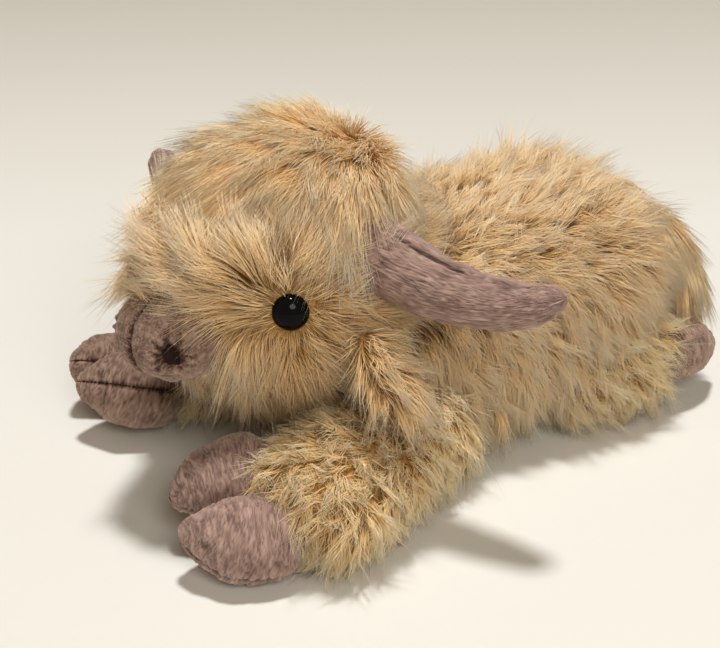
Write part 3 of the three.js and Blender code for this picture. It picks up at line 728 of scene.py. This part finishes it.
def leg_forms(leg, grow, **detail):
    """The sleeve of a leg, and the centre and radius of its root ball."""
    root = np.array([leg.x, leg.y, 0.0])
    foot = np.array([*leg.end, 0.0])
    end = foot + unit(foot - root) * grow
    shares = [0.72, 0.88, 0.98, 1, 1] if leg.way < 0 else [0.86, 1, 1, 0.88, 0.72]
    width = np.array(shares) * leg.half[0] + grow
    height = np.array([1, 1.05, 1.05, 1.02, 0.94]) * leg.half[1]
    spine = root + np.linspace(0, 1, 5)[:, None] * (end - root)
    spine[:, 2] = height - FLAT
    sleeve = Form(spine, width, height + grow, start=0.14, end=0.14, **detail)
    return sleeve, np.array([leg.x, leg.y, leg.ball - FLAT]), leg.ball + grow


def toe_form(leg, side, **detail):
    """The form of a toe and its frame. A front foot's outer toe curls up and in at its tip."""
    share = TOE.hind_share if leg.way > 0 else 1
    lift = TOE.half_height * share - FLAT + math.sin(math.radians(abs(leg.roll))) * TOE.apart * share
    matrix = (Matrix.Translation((*leg.toe, lift)) @ spin(leg.heading * -leg.way, "Z")
              @ spin(leg.pitch * leg.way, "X") @ spin(leg.roll, "Y"))
    along = TOE.ahead - TOE.length + TOE.length * np.linspace(0, 1, 5)
    to_tip = np.array([0, 0, 0.15, 0.5, 1])
    curled = (leg.way < 0) * (side * leg.x > 0)
    apart = TOE.apart - to_tip * (TOE.tip_shift + TOE.tip_turn * curled)
    rise = to_tip * TOE.tip_rise * curled
    spine = np.stack([side * (apart * share + TOE.spread * along), leg.way * along, rise], 1)
    width = np.array([0.8, 1, 0.98, 0.82, 0.5]) * TOE.half_width * share
    height = np.array([0.8, 0.98, 1, 0.9, 0.66]) * TOE.half_height * share
    return Form(spine, width, height, start=0.3, end=0.42, **detail), matrix


def horn_form(sign, **detail):
    share = np.array([0, 0.26, 0.54, 0.8, 1])
    sag = np.array([0, 0.72, 1, 0.7, 0]) * HORN.sag + share * HORN.drop
    back = np.array([0, 0.16, 0.42, 0.72, 1]) * HORN.back
    spine = np.stack([sign * (HORN.x + share * HORN.reach), HORN.y + back, HORN.z - sag], 1)
    radii = np.array([1, 0.96, 0.82, 0.62, 0.46]) * HORN.radius
    return Form(spine, radii, radii, start=0.08, end=0.14, **detail)


def muzzle_form(**detail):
    share = np.linspace(0, 1, 4)
    z = MUZZLE.rear_z + (MUZZLE.front_z - MUZZLE.rear_z) * share
    spine = np.stack([0 * share, -MUZZLE.rear - share * MUZZLE.length, z], 1)
    width = np.array([0.95, 1, 1, 0.96]) * MUZZLE.half_width
    height = np.array([0.95, 1, 1, 0.94]) * MUZZLE.half_height
    return Form(spine, width, height, start=0.15, end=0.55, **detail)


def ear_form(sign, inset, **detail):
    share = np.linspace(0, 1, 4)
    spine = np.stack([sign * (EAR.x + EAR.reach * share), EAR.y + EAR.back * share,
                      EAR.z - EAR.drop * share], 1)
    width = np.array([0.5, 0.95, 1, 0.6]) * EAR.half_width - inset
    thick = np.array([1, 1, 1, 0.8]) * EAR.half_thick - inset
    return Form(spine, width, thick, start=0.15, end=0.34, **detail)


def tail_form(inset, **detail):
    root, bend = np.array(TAIL_ROOT, float), np.array(TAIL_BEND, float)
    middle = (root + bend) / 2 + (0, 0, TAIL.half_thick / 2)
    spine = np.stack([root, (root + middle) / 2, middle, bend])
    shares = np.array([0.9, 1, 1, 0.9])
    return Form(spine, shares * TAIL.half_width - inset, shares * TAIL.half_thick - inset, **detail)


def tuft_form(inset, **detail):
    share = np.linspace(0, 1, 5)[:, None]
    spine = np.array(TAIL_BEND) + (np.array(TAIL_END) - TAIL_BEND) * share
    spine = spine + np.sin(np.pi * share) * (0, TUFT.bulge, TUFT.bulge)
    width = np.array([0.55, 0.85, 1, 1, 0.7]) * TUFT.half_width - inset
    thick = np.array([0.8, 1, 1, 1, 0.8]) * TUFT.half_thick - inset
    return Form(spine, width, thick, start=0.2, end=0.34, **detail)


def form_piece(name, form):
    return mesh_piece(name, form.points, form.faces)


def ball_piece(centre, radius):
    return mesh_piece("ball", *egg(np.asarray(centre, float), radius))


# How the fur is combed
def head_comb(points, normals):
    """Outwards from each eye and back from the nose, hanging at the cheeks and chin."""
    own = placed(points, to_head)
    ahead, height = -own[:, 1], own[:, 2]
    side = np.where(own[:, :1] < 0, -1.0, 1.0)
    from_eye = own - (side * (EYE.x, 0, 0) + (0, EYE.y, EYE.z))
    reach = lengths(from_eye)
    from_nose = unit(own - HEAD_FUR.nose) * (1.2, 1, 1)
    level = np.array((0, -0.35, 0.1)) * smooth(height, *HEAD_FUR.level_span)[:, None]
    hang = smooth(-height, *HEAD_FUR.hang_span)
    swirl = unit(from_eye) * 3 * bell(reach, HEAD_FUR.swirl)[:, None]
    flow = from_nose * 0.8 + swirl + level + np.array((0, 0.25, -1.3)) * hang[:, None]
    near_eye = smooth(reach, *HEAD_FUR.eye_span)
    near_nose = smooth(lengths(own - HEAD_FUR.bridge), *HEAD_FUR.bridge_span)
    brow = smooth(height, *HEAD_FUR.brow_low) * (1 - smooth(height, *HEAD_FUR.brow_top))
    brow = brow * smooth(ahead, *HEAD_FUR.brow_ahead)
    pile = (HEAD_PILE.at_eye + HEAD_PILE.beyond * near_eye) * (0.6 + 0.4 * near_nose)
    pile = pile + HEAD_PILE.brow * brow + HEAD_PILE.hang * hang
    pile = pile - HEAD_PILE.under_lock * smooth(height, *HEAD_FUR.lock_span)
    lift = 0.5 - 0.15 * hang + 0.12 * brow - 0.2 * bell(reach, HEAD_FUR.flat_by_eye)
    cover = (reach > HEAD_FUR.eye_clear) * smooth(own[:, 1], *HEAD_FUR.neck_span)
    return flow @ head_axes.T, lift, pile, cover, 0.5 * smooth(reach, *HEAD_FUR.pull_span)


def off_the_floor(points, normals):
    return 1 - smooth(-normals[:, 2], 0.5, 0.9) * (points[:, 2] < BELLY_HEIGHT)


def torso_comb(points, normals):
    """Back along the spine, down and back on the flanks."""
    up = smooth(normals[:, 2:], 0.15, 0.85)
    rear = smooth(points[:, 1:2], *TORSO_FUR.rear_span)
    comb = (0, 1, 0.1) * up + np.array((0, 0.35, -1)) * (1 - up) + (0, 0, -0.8) * rear
    line = through([TAIL_ROOT, TAIL_BEND, TAIL_END], np.linspace(0.28, 1, 20))
    under_tail = bell(np.min(np.linalg.norm(points[:, None] - line, axis=2), axis=1), TORSO_FUR.by_tail)
    up = up[:, 0]
    rump = bell(points[:, 1] - TORSO_FUR.rump, TORSO_FUR.rump_reach) * up
    lift = (0.42 + 0.16 * up + 0.2 * rump) * (1 - 0.8 * under_tail)
    pile = TORSO_PILE.flank - TORSO_PILE.back * up + TORSO_PILE.rump * rump
    return comb, lift, pile * (1 - 0.7 * under_tail), off_the_floor(points, normals), 1 - 0.8 * up


def leg_comb(leg):
    root, foot = np.array([leg.x, leg.y, LEG_FUR.root_z]), np.array([*leg.end, LEG_FUR.foot_z])
    ahead = unit(foot - root)

    def rule(points, normals):
        comb = ahead * 0.9 + normals * (1, 1, 0) * 0.2 + (0, 0, -0.75)
        share = (points - root) @ ahead / np.linalg.norm(foot - root)
        pile = LEG_PILE.sleeve - LEG_PILE.foot * smooth(share, 0.8, 1.1)
        return comb, 0.44, pile, off_the_floor(points, normals), 1

    return rule


def forelock_comb(points, normals):
    """From the crown forwards and out over the brow."""
    own = placed(points, to_head)
    ahead, aside = -own[:, 1], np.abs(own[:, 0])
    front = smooth(ahead, *LOCK_FUR.front_span)
    edge = smooth(aside, *LOCK_FUR.edge_span)
    hang = np.maximum(front, edge)
    from_horn = own[:, :2] - LOCK_FUR.horn
    over_horn = np.exp(-np.sum((from_horn / LOCK_FUR.horn_reach) ** 2, axis=1))
    from_crown = own - LOCK_FUR.crown
    crown = bell(lengths(from_crown), LOCK_FUR.crown_reach)
    flow = unit(from_crown) + (0, -0.5, -0.1) + np.array((0, 0, -0.7)) * hang[:, None]
    flow = flow + (0.4, 0, -2) * over_horn[:, None]
    above_eye = smooth(ahead, *LOCK_FUR.eye_ahead) * smooth(aside, *LOCK_FUR.eye_aside)
    pile = (LOCK_PILE.crown + LOCK_PILE.edge * edge + LOCK_PILE.front * front) * (1 - 0.4 * above_eye)
    pile = pile + LOCK_PILE.horn * over_horn
    lift = 0.3 - 0.08 * hang + 0.42 * crown
    return flow @ head_axes.T, lift, pile, smooth(own[:, 2], *LOCK_FUR.foot_span), 0.6


def tail_comb(points, normals):
    """Down the tail, fanned to both sides and short at its root."""
    ahead = unit(np.array(TAIL_BEND, float) - TAIL_ROOT)
    away = smooth(points[:, 1], TAIL_ROOT[1], TAIL_ROOT[1] + TAIL_PILE.away_span)
    return ahead + normals * (0.8, 0, 0), 0.12, TAIL_PILE.root + TAIL_PILE.away * away, 1, 1


def run_comb(ahead, lift, pile, fan=0.0):
    def rule(points, normals):
        return unit(np.asarray(ahead, float)) + normals * (fan, 0, 0), lift, pile, 1, 1

    return rule


def fur_skin(skin, rule, body, nodes, joined=(), cut=()):
    """Makes a piece the cloth under fur: joined to others, or cut by others at whose seats no fur grows."""
    graph = bpy.context.evaluated_depsgraph_get()
    seats = [bvhtree.BVHTree.FromObject(tool, graph) for tool in cut]
    if joined:
        carve(skin, joined, "UNION")
    if cut:
        carve(skin, cut)
    comb_skin(skin, rule, seats)
    settle(skin, body, under_fur, nodes)


def grow_quarters(name, skin, body, left, fore, densities, seed, **settings):
    """Grows long fur on a skin as four meshes, from how far left and how far fore each point lies."""
    for side, density in densities.items():
        for end in ("fore", "rear"):
            def patch(points):
                across = left(points) if side == "left" else 1 - left(points)
                return across * (fore(points) if end == "fore" else 1 - fore(points))

            grow_fur(f"{name}_{side}_{end}", skin, body, long_fur, "long_fur", density, patch, seed=seed,
                     **settings)
            seed += 1


# The torso
def leg_tools(leg, grow, angles):
    """The leg's form at each angle that it swings to, as cutting tools."""
    tools = []
    outward = leg.way * -math.copysign(1, leg.x)
    for angle in angles:
        sleeve, centre, radius = leg_forms(leg, grow, rings=14, sides=20)
        swing = Matrix.Translation(centre) @ spin(outward * angle, "Z") @ Matrix.Translation(-centre)
        tools.append(form_piece("sweep", sleeve.move(swing)))
    tools.append(ball_piece(centre, radius))
    return tools


tools = [ball_piece(NECK, NECK_BALL)]
for leg in LEGS.values():
    tools += leg_tools(leg, LEG_ROOM - SKIN_DEPTH.leg, SWING_ANGLES)
torso_skin = form_piece("torso_skin", torso_form(SKIN_DEPTH.torso, rings=40, sides=56))
fur_skin(torso_skin, torso_comb, "torso", ("torso_cover", "torso_stuffing"),
         cut=tools)
grow_quarters("torso_fur", torso_skin, "torso", lambda p: smooth(p[:, 0], *TORSO_FUR.side_seam),
              lambda p: 1 - smooth(p[:, 1], *TORSO_FUR.middle), {"left": 1.5, "right": 0.85}, seed=1,
              curl=2.2, clump_size=0.006, clump_pull=0.7)

# The head
head_skin = form_piece("head_skin", face_form(SKIN_DEPTH.head, rings=40, sides=56).move(head_frame))
fur_skin(head_skin, head_comb, "head", ("head_cover", "head_stuffing"),
         joined=[ball_piece(NECK, NECK_BALL - SKIN_DEPTH.head)])
grow_quarters("head_fur", head_skin, "head", lambda p: smooth(placed(p, to_head)[:, 0], *HEAD_FUR.side_seam),
              lambda p: smooth(placed(p, to_head)[:, 1], *HEAD_FUR.middle), {"left": 1.5, "right": 1.5},
              seed=11, strand_radius=0.00015, droop=0.12)

# The forelock
halves = np.array((FORELOCK.half_width, FORELOCK.half_length, FORELOCK.half_height))
lock_points, lock_faces = egg(np.array((0, FORELOCK.y, FORELOCK.z)), halves - SKIN_DEPTH.forelock)
forelock_skin = mesh_piece("forelock_skin", placed(lock_points, head_frame), lock_faces)
head_tool = form_piece("head_tool", face_form(SKIN_DEPTH.head - LOCK_OVERLAP).move(head_frame))
fur_skin(forelock_skin, forelock_comb, "head", ("forelock",), cut=[head_tool])
grow_fur("forelock_hair", forelock_skin, "head", silky_fur, "silky_fur", per_mm2=1.5, seed=21,
         clump_size=0.007, clump_scatter=0.9, strand_scatter=0.5, droop=0.25, sweep=0.35, ragged=0.5,
         curl=0.7, steps=3)


def by_horns(points):
    """Near 1 where the pale fringe hangs over the horns' roots."""
    own = placed(points, to_head)
    own[:, 0] = np.abs(own[:, 0])
    return bell(lengths(own - FRINGE.centre), FRINGE.radius)


grow_fur("horn_fringe", forelock_skin, "head", fringe_fur, "silky_fur", per_mm2=1.3, patch=by_horns,
         seed=22, clump_size=0.007, clump_scatter=0.3, strand_scatter=0.4, droop=0.7, sweep=0.3,
         ragged=0.3, curl=0.6, steps=3)


# The bare pieces of short plush
def ripple(points, *waves):
    """Uneven stuffing: soft noises in millimetres, from pairs of waves per millimetre and depth."""
    return sum(np.array([noise.noise(Vector(p * scale)) for p in points]) * depth for scale, depth in waves)


def plush_piece(name, form, matrix, rule, material, body, nodes, fill=0.85, straight=None, **crimps):
    """Makes a piece of short pile. rule(points, shares, turns) gives its rise in millimetres and the painted
    shade of its seams, folds and pits. straight is the length and radius of a curved piece, whose streaks
    follow it."""
    piece = form_piece(name, form)
    points, normals = read_points(piece.data)
    rise, groove_shade = rule(points, form.share, form.turn)
    own = points + normals * rise[:, None]
    form.points = placed(own, matrix)
    write_points(piece.data, form.points)
    if straight:
        length, radius = straight
        own = np.stack([form.share * length, np.cos(form.turn) * radius, np.sin(form.turn) * radius], 1)
    write_field(piece.data, "own", own * MM)
    write_field(piece.data, "groove_shade", groove_shade)
    run_tree(piece, crimp_nodes, {"Material": material, **in_words(crimps)})
    points, _ = read_points(piece.data)
    points[:, 2] = np.maximum(points[:, 2], 0)
    drop_fields(piece.data, ("own", "groove_shade"))
    write_points(piece.data, points)
    settle(piece, body, material, nodes)


def stitch_line(name, points, body):
    """A row of dark stitches along a line of points."""
    mesh = bpy.data.meshes.new(name)
    mesh.from_pydata((points * MM).tolist(), [(i, i + 1) for i in range(len(points) - 1)], [])
    row = add_object(name, mesh)
    run_tree(row, stitch_nodes, {"Material": nostril_cloth})
    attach(row, body)


def nostril_aim(sign):
    turn = math.radians(NOSTRIL.turn)
    return np.array((sign * math.sin(turn), -math.cos(turn), 0))


def muzzle_rule(points, share, turn):
    """A seam down the nose, and round each nostril a rim, a pit and puckered folds. Shade is painted into
    the sunk seam, the pits and the hollows of the folds, and round each nostril, fading outwards.
    """
    valley = bell(points[:, 0], SEAM.nose_width) * smooth(share, 0.05, 0.4)
    rise = ripple(points, (0.11, 1.2), (0.3, 0.5)) - SEAM.nose_depth * valley
    groove_shade = -0.5 * valley
    for sign in (-1, 1):
        off = points - (sign * NOSTRIL.x, NOSTRIL.y, NOSTRIL.z)
        aim = nostril_aim(sign)
        flat = off - np.outer(off @ aim, aim)
        around = np.arctan2(flat @ (0, 0, 1), flat @ np.cross(aim, (0, 0, 1)))
        reach = lengths(flat) * (1 + 0.1 * np.sin(3 * around + 1))
        facing = (off @ aim) > -PUCKER.behind
        folds = np.cos(11 * around + 1.5 * np.sin(2 * around)) * bell(reach - PUCKER.folds_at, PUCKER.folds)
        pit = np.exp(-(reach / PUCKER.pit) ** 4)
        rim = bell(reach - PUCKER.rim_at, PUCKER.rim)
        raised = PUCKER.fold_rise * folds - PUCKER.pit_depth * pit + PUCKER.rim_rise * rim
        rise = rise + facing * raised
        groove_shade = groove_shade + facing * (0.2 * folds - 0.5 * pit - 0.4 * bell(reach, PUCKER.dark))
    return rise, groove_shade


def horn_rule(points, share, turn):
    """A seam along the top that gapes in its middle, with fine gathers beside it. Shade is painted into the
    slit and the hollows between the gathers.
    """
    seam = np.abs(np.angle(np.exp(1j * (turn - math.radians(80)))))
    gaping = smooth(share, 0.14, 0.26) * (1 - smooth(share, 0.42, 0.6))
    slit = bell(seam, 0.09) * (0.3 + 0.7 * gaping)
    gathers = np.cos(share * 90 + 2 * np.sin(share * 21)) * bell(seam, 0.6)
    rise = ripple(points, (0.08, 1.3), (0.25, 0.5)) + GATHERS.horn * gathers - SEAM.horn_depth * slit
    return rise, 0.06 * gathers - 0.45 * slit


def toe_rule(seam_turn):
    def rule(points, share, turn):
        seam = np.abs(np.sin(turn - math.radians(seam_turn)))
        slit = bell(seam, 0.06) * smooth(share, 0.1, 0.3)
        gathers = np.cos(share * 80 + 2 * np.sin(share * 17)) * bell(seam, 0.4)
        rise = ripple(points, (0.08, 1.2), (0.26, 0.45)) + GATHERS.toe * gathers - SEAM.toe_depth * slit
        # Painted shade in the seam's slit and in the hollows between the gathers.
        return rise, 0.06 * gathers - 0.42 * slit

    return rule


plush_piece("muzzle", muzzle_form(rings=140, sides=190), head_frame, muzzle_rule, muzzle_and_shade_plush, "head",
            ("muzzle_cover", "muzzle_stuffing"), fill=0.8, streak=(0.0016, 0.0024, 0.0014),
            streak_depth=0.0006, lump_depth=0.0006)


def on_head(points, sign, spot, aim, depth=0):
    """Points of a small trim piece, set at a spot of the head with their own z along aim."""
    seat = Matrix.Translation(Vector((sign * spot.x, spot.y, spot.z)) - aim * depth)
    upright = Vector((0, 0, 1)).rotation_difference(aim).to_matrix().to_4x4()
    return placed(points, head_frame @ seat @ upright)


def make_eye(name, sign, sides=48):
    """A smooth dome on its shank, turned from an outline of radii and heights."""
    polar = np.linspace(0, 1, 25) * math.pi / 2
    outline = [(EYE.radius * math.sin(a), EYE.height * math.cos(a)) for a in polar]
    outline += [(EYE.radius * 0.98, EYE.rim), (SHANK.radius, SHANK.top), (SHANK.radius, SHANK.end)]
    spins = 2 * np.pi * np.arange(sides) / sides
    rows = [(r * math.cos(s), r * math.sin(s), h) for r, h in outline[1:] for s in spins]
    dome = np.array([(0, 0, outline[0][1]), *rows, (0, 0, outline[-1][1])])
    turn, rise = math.radians(EYE.turn), math.radians(EYE.rise)
    aim = Vector((sign * math.sin(turn), -math.cos(turn), math.sin(rise))).normalized()
    faces = ring_faces(len(outline) - 1, sides)
    eye = mesh_piece(f"eye_dome_{name}", on_head(dome, sign, EYE, aim), faces)
    settle(eye, "head", eye_plastic, (f"eye_{name}",))


def make_nostril(name, sign):
    """The uneven cloth deep in a nostril, near-black: partly its own dark cloth, partly painted shade inside
    the hole.
    """
    points, faces = egg(np.zeros(3), np.array(NOSTRIL.halves), 12, 24)
    around = np.arctan2(points[:, 1], points[:, 0])
    uneven = 1 + 0.16 * np.cos(2 * around + 0.8) + 0.12 * np.cos(5 * around) + 0.06 * np.cos(9 * around + 1)
    points[:, :2] *= uneven[:, None]
    sunk = on_head(points, sign, NOSTRIL, Vector(nostril_aim(sign)), NOSTRIL.depth)
    pit = mesh_piece(f"nostril_pit_{name}", sunk, faces)
    settle(pit, "head", nostril_cloth, (f"nostril_{name}",))


for name, sign in (("left", 1), ("right", -1)):
    plush_piece(f"horn_of_plush_{name}", horn_form(sign, rings=80, sides=220), head_frame, horn_rule,
                suede_plush, "head", (f"horn_{name}", f"horn_stuffing_{name}"),
                straight=(HORN.reach, HORN.radius * 0.8), streak=(0.009, 0.0011, 0.0011),
                streak_depth=0.0008)
    ear = f"ear_{name}"
    ear_shape = ear_form(sign, SKIN_DEPTH.ear, rings=16, sides=20)
    ear_skin = form_piece(f"ear_skin_{name}", ear_shape.move(head_frame))
    droop = np.array(head_frame.to_3x3() @ Vector((sign * 0.6, 0.1, -1)))
    fur_skin(ear_skin, run_comb(droop, 0.42, EAR_PILE), ear, (ear,))
    grow_fur(f"ear_fur_{name}", ear_skin, ear, long_fur, "long_fur", per_mm2=1.5, seed=EAR_SEED + sign,
             clump_scatter=2.0, clump_pull=0.5, curl=2.0)
    make_eye(name, sign)
    make_nostril(name, sign)
    paint(f"eye_washer_{name}", washer_plastic)

# The legs and toes
for index, (name, leg) in enumerate(LEGS.items()):
    nearest = name == "front_leg_left"
    sleeve, centre, radius = leg_forms(leg, -SKIN_DEPTH.leg, rings=30, sides=40)
    skin = form_piece(f"{name}_skin", sleeve)
    fur_skin(skin, leg_comb(leg), name, (f"{name}_cover", f"{name}_stuffing"),
             joined=[ball_piece(centre, radius)])
    # The legs' fur is painted lighter than the body's, as painted light.
    grow_fur(f"{name}_fur", skin, name, lit_leg_fur, "long_fur", leg.density, seed=LEG_SEED + index,
             droop=0.3, curl=3.2, clump_size=0.0046, clump_scatter=2.3, steps=3 if nearest else 2)
    stem = name.replace("_leg_", "_toe_")
    # The toes away from the near front leg get the darker plush as painted shade.
    cloth = suede_plush if nearest else muzzle_and_shade_plush
    detail = dict(rings=170, sides=72) if nearest else dict(rings=110, sides=56)
    for side in (1, -1):
        place = "outer" if side * leg.x > 0 else "inner"
        toe, matrix = toe_form(leg, side, **detail)
        plush_piece(f"{stem}_{place}_plush", toe, matrix, toe_rule(leg.seam_turn), cloth, name,
                    (f"{stem}_{place}",), streak=(0.008, 0.0011, 0.008), streak_depth=0.0008)
        if name == "front_leg_right":
            column = round(leg.seam_turn / 360 * detail["sides"] - 0.5)
            seam_rows = [1 + row * detail["sides"] + column for row in range(*TOE.stitched_rows)]
            stitch_line(f"{stem}_{place}_stitches", toe.points[seam_rows], name)

# The tail
tail_skin = form_piece("tail_skin", tail_form(SKIN_DEPTH.tail, rings=16, sides=20))
fur_skin(tail_skin, tail_comb, "tail", ("tail_cord",))
grow_fur("tail_hair", tail_skin, "tail", silky_fur, "silky_fur", per_mm2=2.2, seed=51, clump_size=0.008,
         clump_scatter=0.4, strand_scatter=0.3, droop=0.4, sweep=0.3)
tuft_skin = form_piece("tuft_skin", tuft_form(SKIN_DEPTH.tuft, rings=20, sides=24))
down_tuft = np.array(TAIL_END) - np.array(TAIL_BEND) + TUFT_LEAN
tuft_comb = run_comb(down_tuft, 0.14, TAIL_PILE.tuft, fan=0.5)
fur_skin(tuft_skin, tuft_comb, "tail", ("tail_tuft",))
grow_fur("tuft_hair", tuft_skin, "tail", silky_fur, "silky_fur", per_mm2=2.2, seed=52, clump_size=0.009,
         clump_scatter=0.35, strand_scatter=0.25, droop=0.3, sweep=0.2, curl=0.4)

paint("neck_stuffing", filling_cloth)
paint("belly_bean_bag", bead_cloth)


# The studio, in metres
LOOK_AT = Vector((0.005, -0.070, 0.060))
AZIMUTH, ELEVATION, DISTANCE = math.radians(60), math.radians(27), 0.720
VIEW_ANGLE = math.radians(25.5)
FLOOR_RADIUS = 1.6
SOFT_LIGHT, BACKDROP_LIGHT = 0.11, 1.0
right = Vector((math.cos(AZIMUTH), math.sin(AZIMUTH), 0))
level = Vector((math.sin(AZIMUTH), -math.cos(AZIMUTH), 0))
back = level * math.cos(ELEVATION) + Vector((0, 0, math.sin(ELEVATION)))


def floor_finish():
    """A plain floor whose colour darkens the farther back it lies, as painted falloff of the light, with a
    faint random haze.
    """
    material, n, inputs = finish("studio_floor", roughness=0.85, specular=0.1)
    place = n.add("ShaderNodeTexCoord").outputs["Object"]
    depth = n.vector("DOT_PRODUCT", place, (-math.sin(AZIMUTH), math.cos(AZIMUTH), 0.0))
    haze = n.noise(place, 1.5, detail=2.0)["Fac"]
    # Painted falloff: the floor's colour darker with its distance behind the cow.
    far = n.plus(depth, n.times_plus(haze, 0.1, -0.05))
    n.feed(inputs["Base Color"], colour_ramp(n, far, [(0.2, "eeede8"), (0.95, "c6c1b4")]))
    return material


bpy.ops.mesh.primitive_circle_add(vertices=128, radius=FLOOR_RADIUS, fill_type="NGON")
floor = bpy.context.object
floor.name = "studio_floor"
floor.data.materials.append(floor_finish())


def hang_up(name, data, way, distance=1):
    """Hangs a lamp or the camera out along a way from LOOK_AT, and aims it back there."""
    holder = add_object(name, data)
    holder.location = LOOK_AT + way * distance
    holder.rotation_euler = way.to_track_quat("Z", "Y").to_euler()
    return holder


lens = bpy.data.cameras.new("camera")
lens.sensor_fit = "HORIZONTAL"
lens.angle = VIEW_ANGLE
bpy.context.scene.camera = hang_up("camera", lens, back, DISTANCE)


def lamp(name, way, size, watts, colour):
    light = bpy.data.lights.new(name, "AREA")
    light.shape = "DISK"
    light.size = size
    light.energy = watts
    light.color = colour
    hang_up(name, light, way)


lamp("key", right * 0.1 - level * 0.15 + Vector((0, 0, 3.4)), size=0.4, watts=86, colour=(1.0, 0.985, 0.96))
lamp("fill", right * 0.5 + level * 2.0 + Vector((0, 0, 1.6)), size=1.2, watts=28, colour=(1.0, 0.955, 0.87))
world = bpy.data.worlds.new("studio")
bpy.context.scene.world = world
world.use_nodes = True
n = Nodes(world.node_tree)
soft_light = world.node_tree.nodes["Background"]
soft_light.inputs["Color"].default_value = srgb("ffdfb0")
soft_light.inputs["Strength"].default_value = SOFT_LIGHT
backdrop = n.add("ShaderNodeBackground", {"Color": srgb("d9d2c3"), "Strength": BACKDROP_LIGHT})
ray = n.add("ShaderNodeLightPath").outputs
mirrored = n.math("MAXIMUM", ray["Is Glossy Ray"], ray["Is Transmission Ray"])
plain = n.math("MAXIMUM", ray["Is Camera Ray"], mirrored)
seen = n.add("ShaderNodeMixShader", {0: plain, 1: soft_light.outputs[0], 2: backdrop.outputs[0]})
n.feed(world.node_tree.nodes["World Output"].inputs["Surface"], seen.outputs[0])
bpy.context.scene.view_settings.view_transform = "Standard"
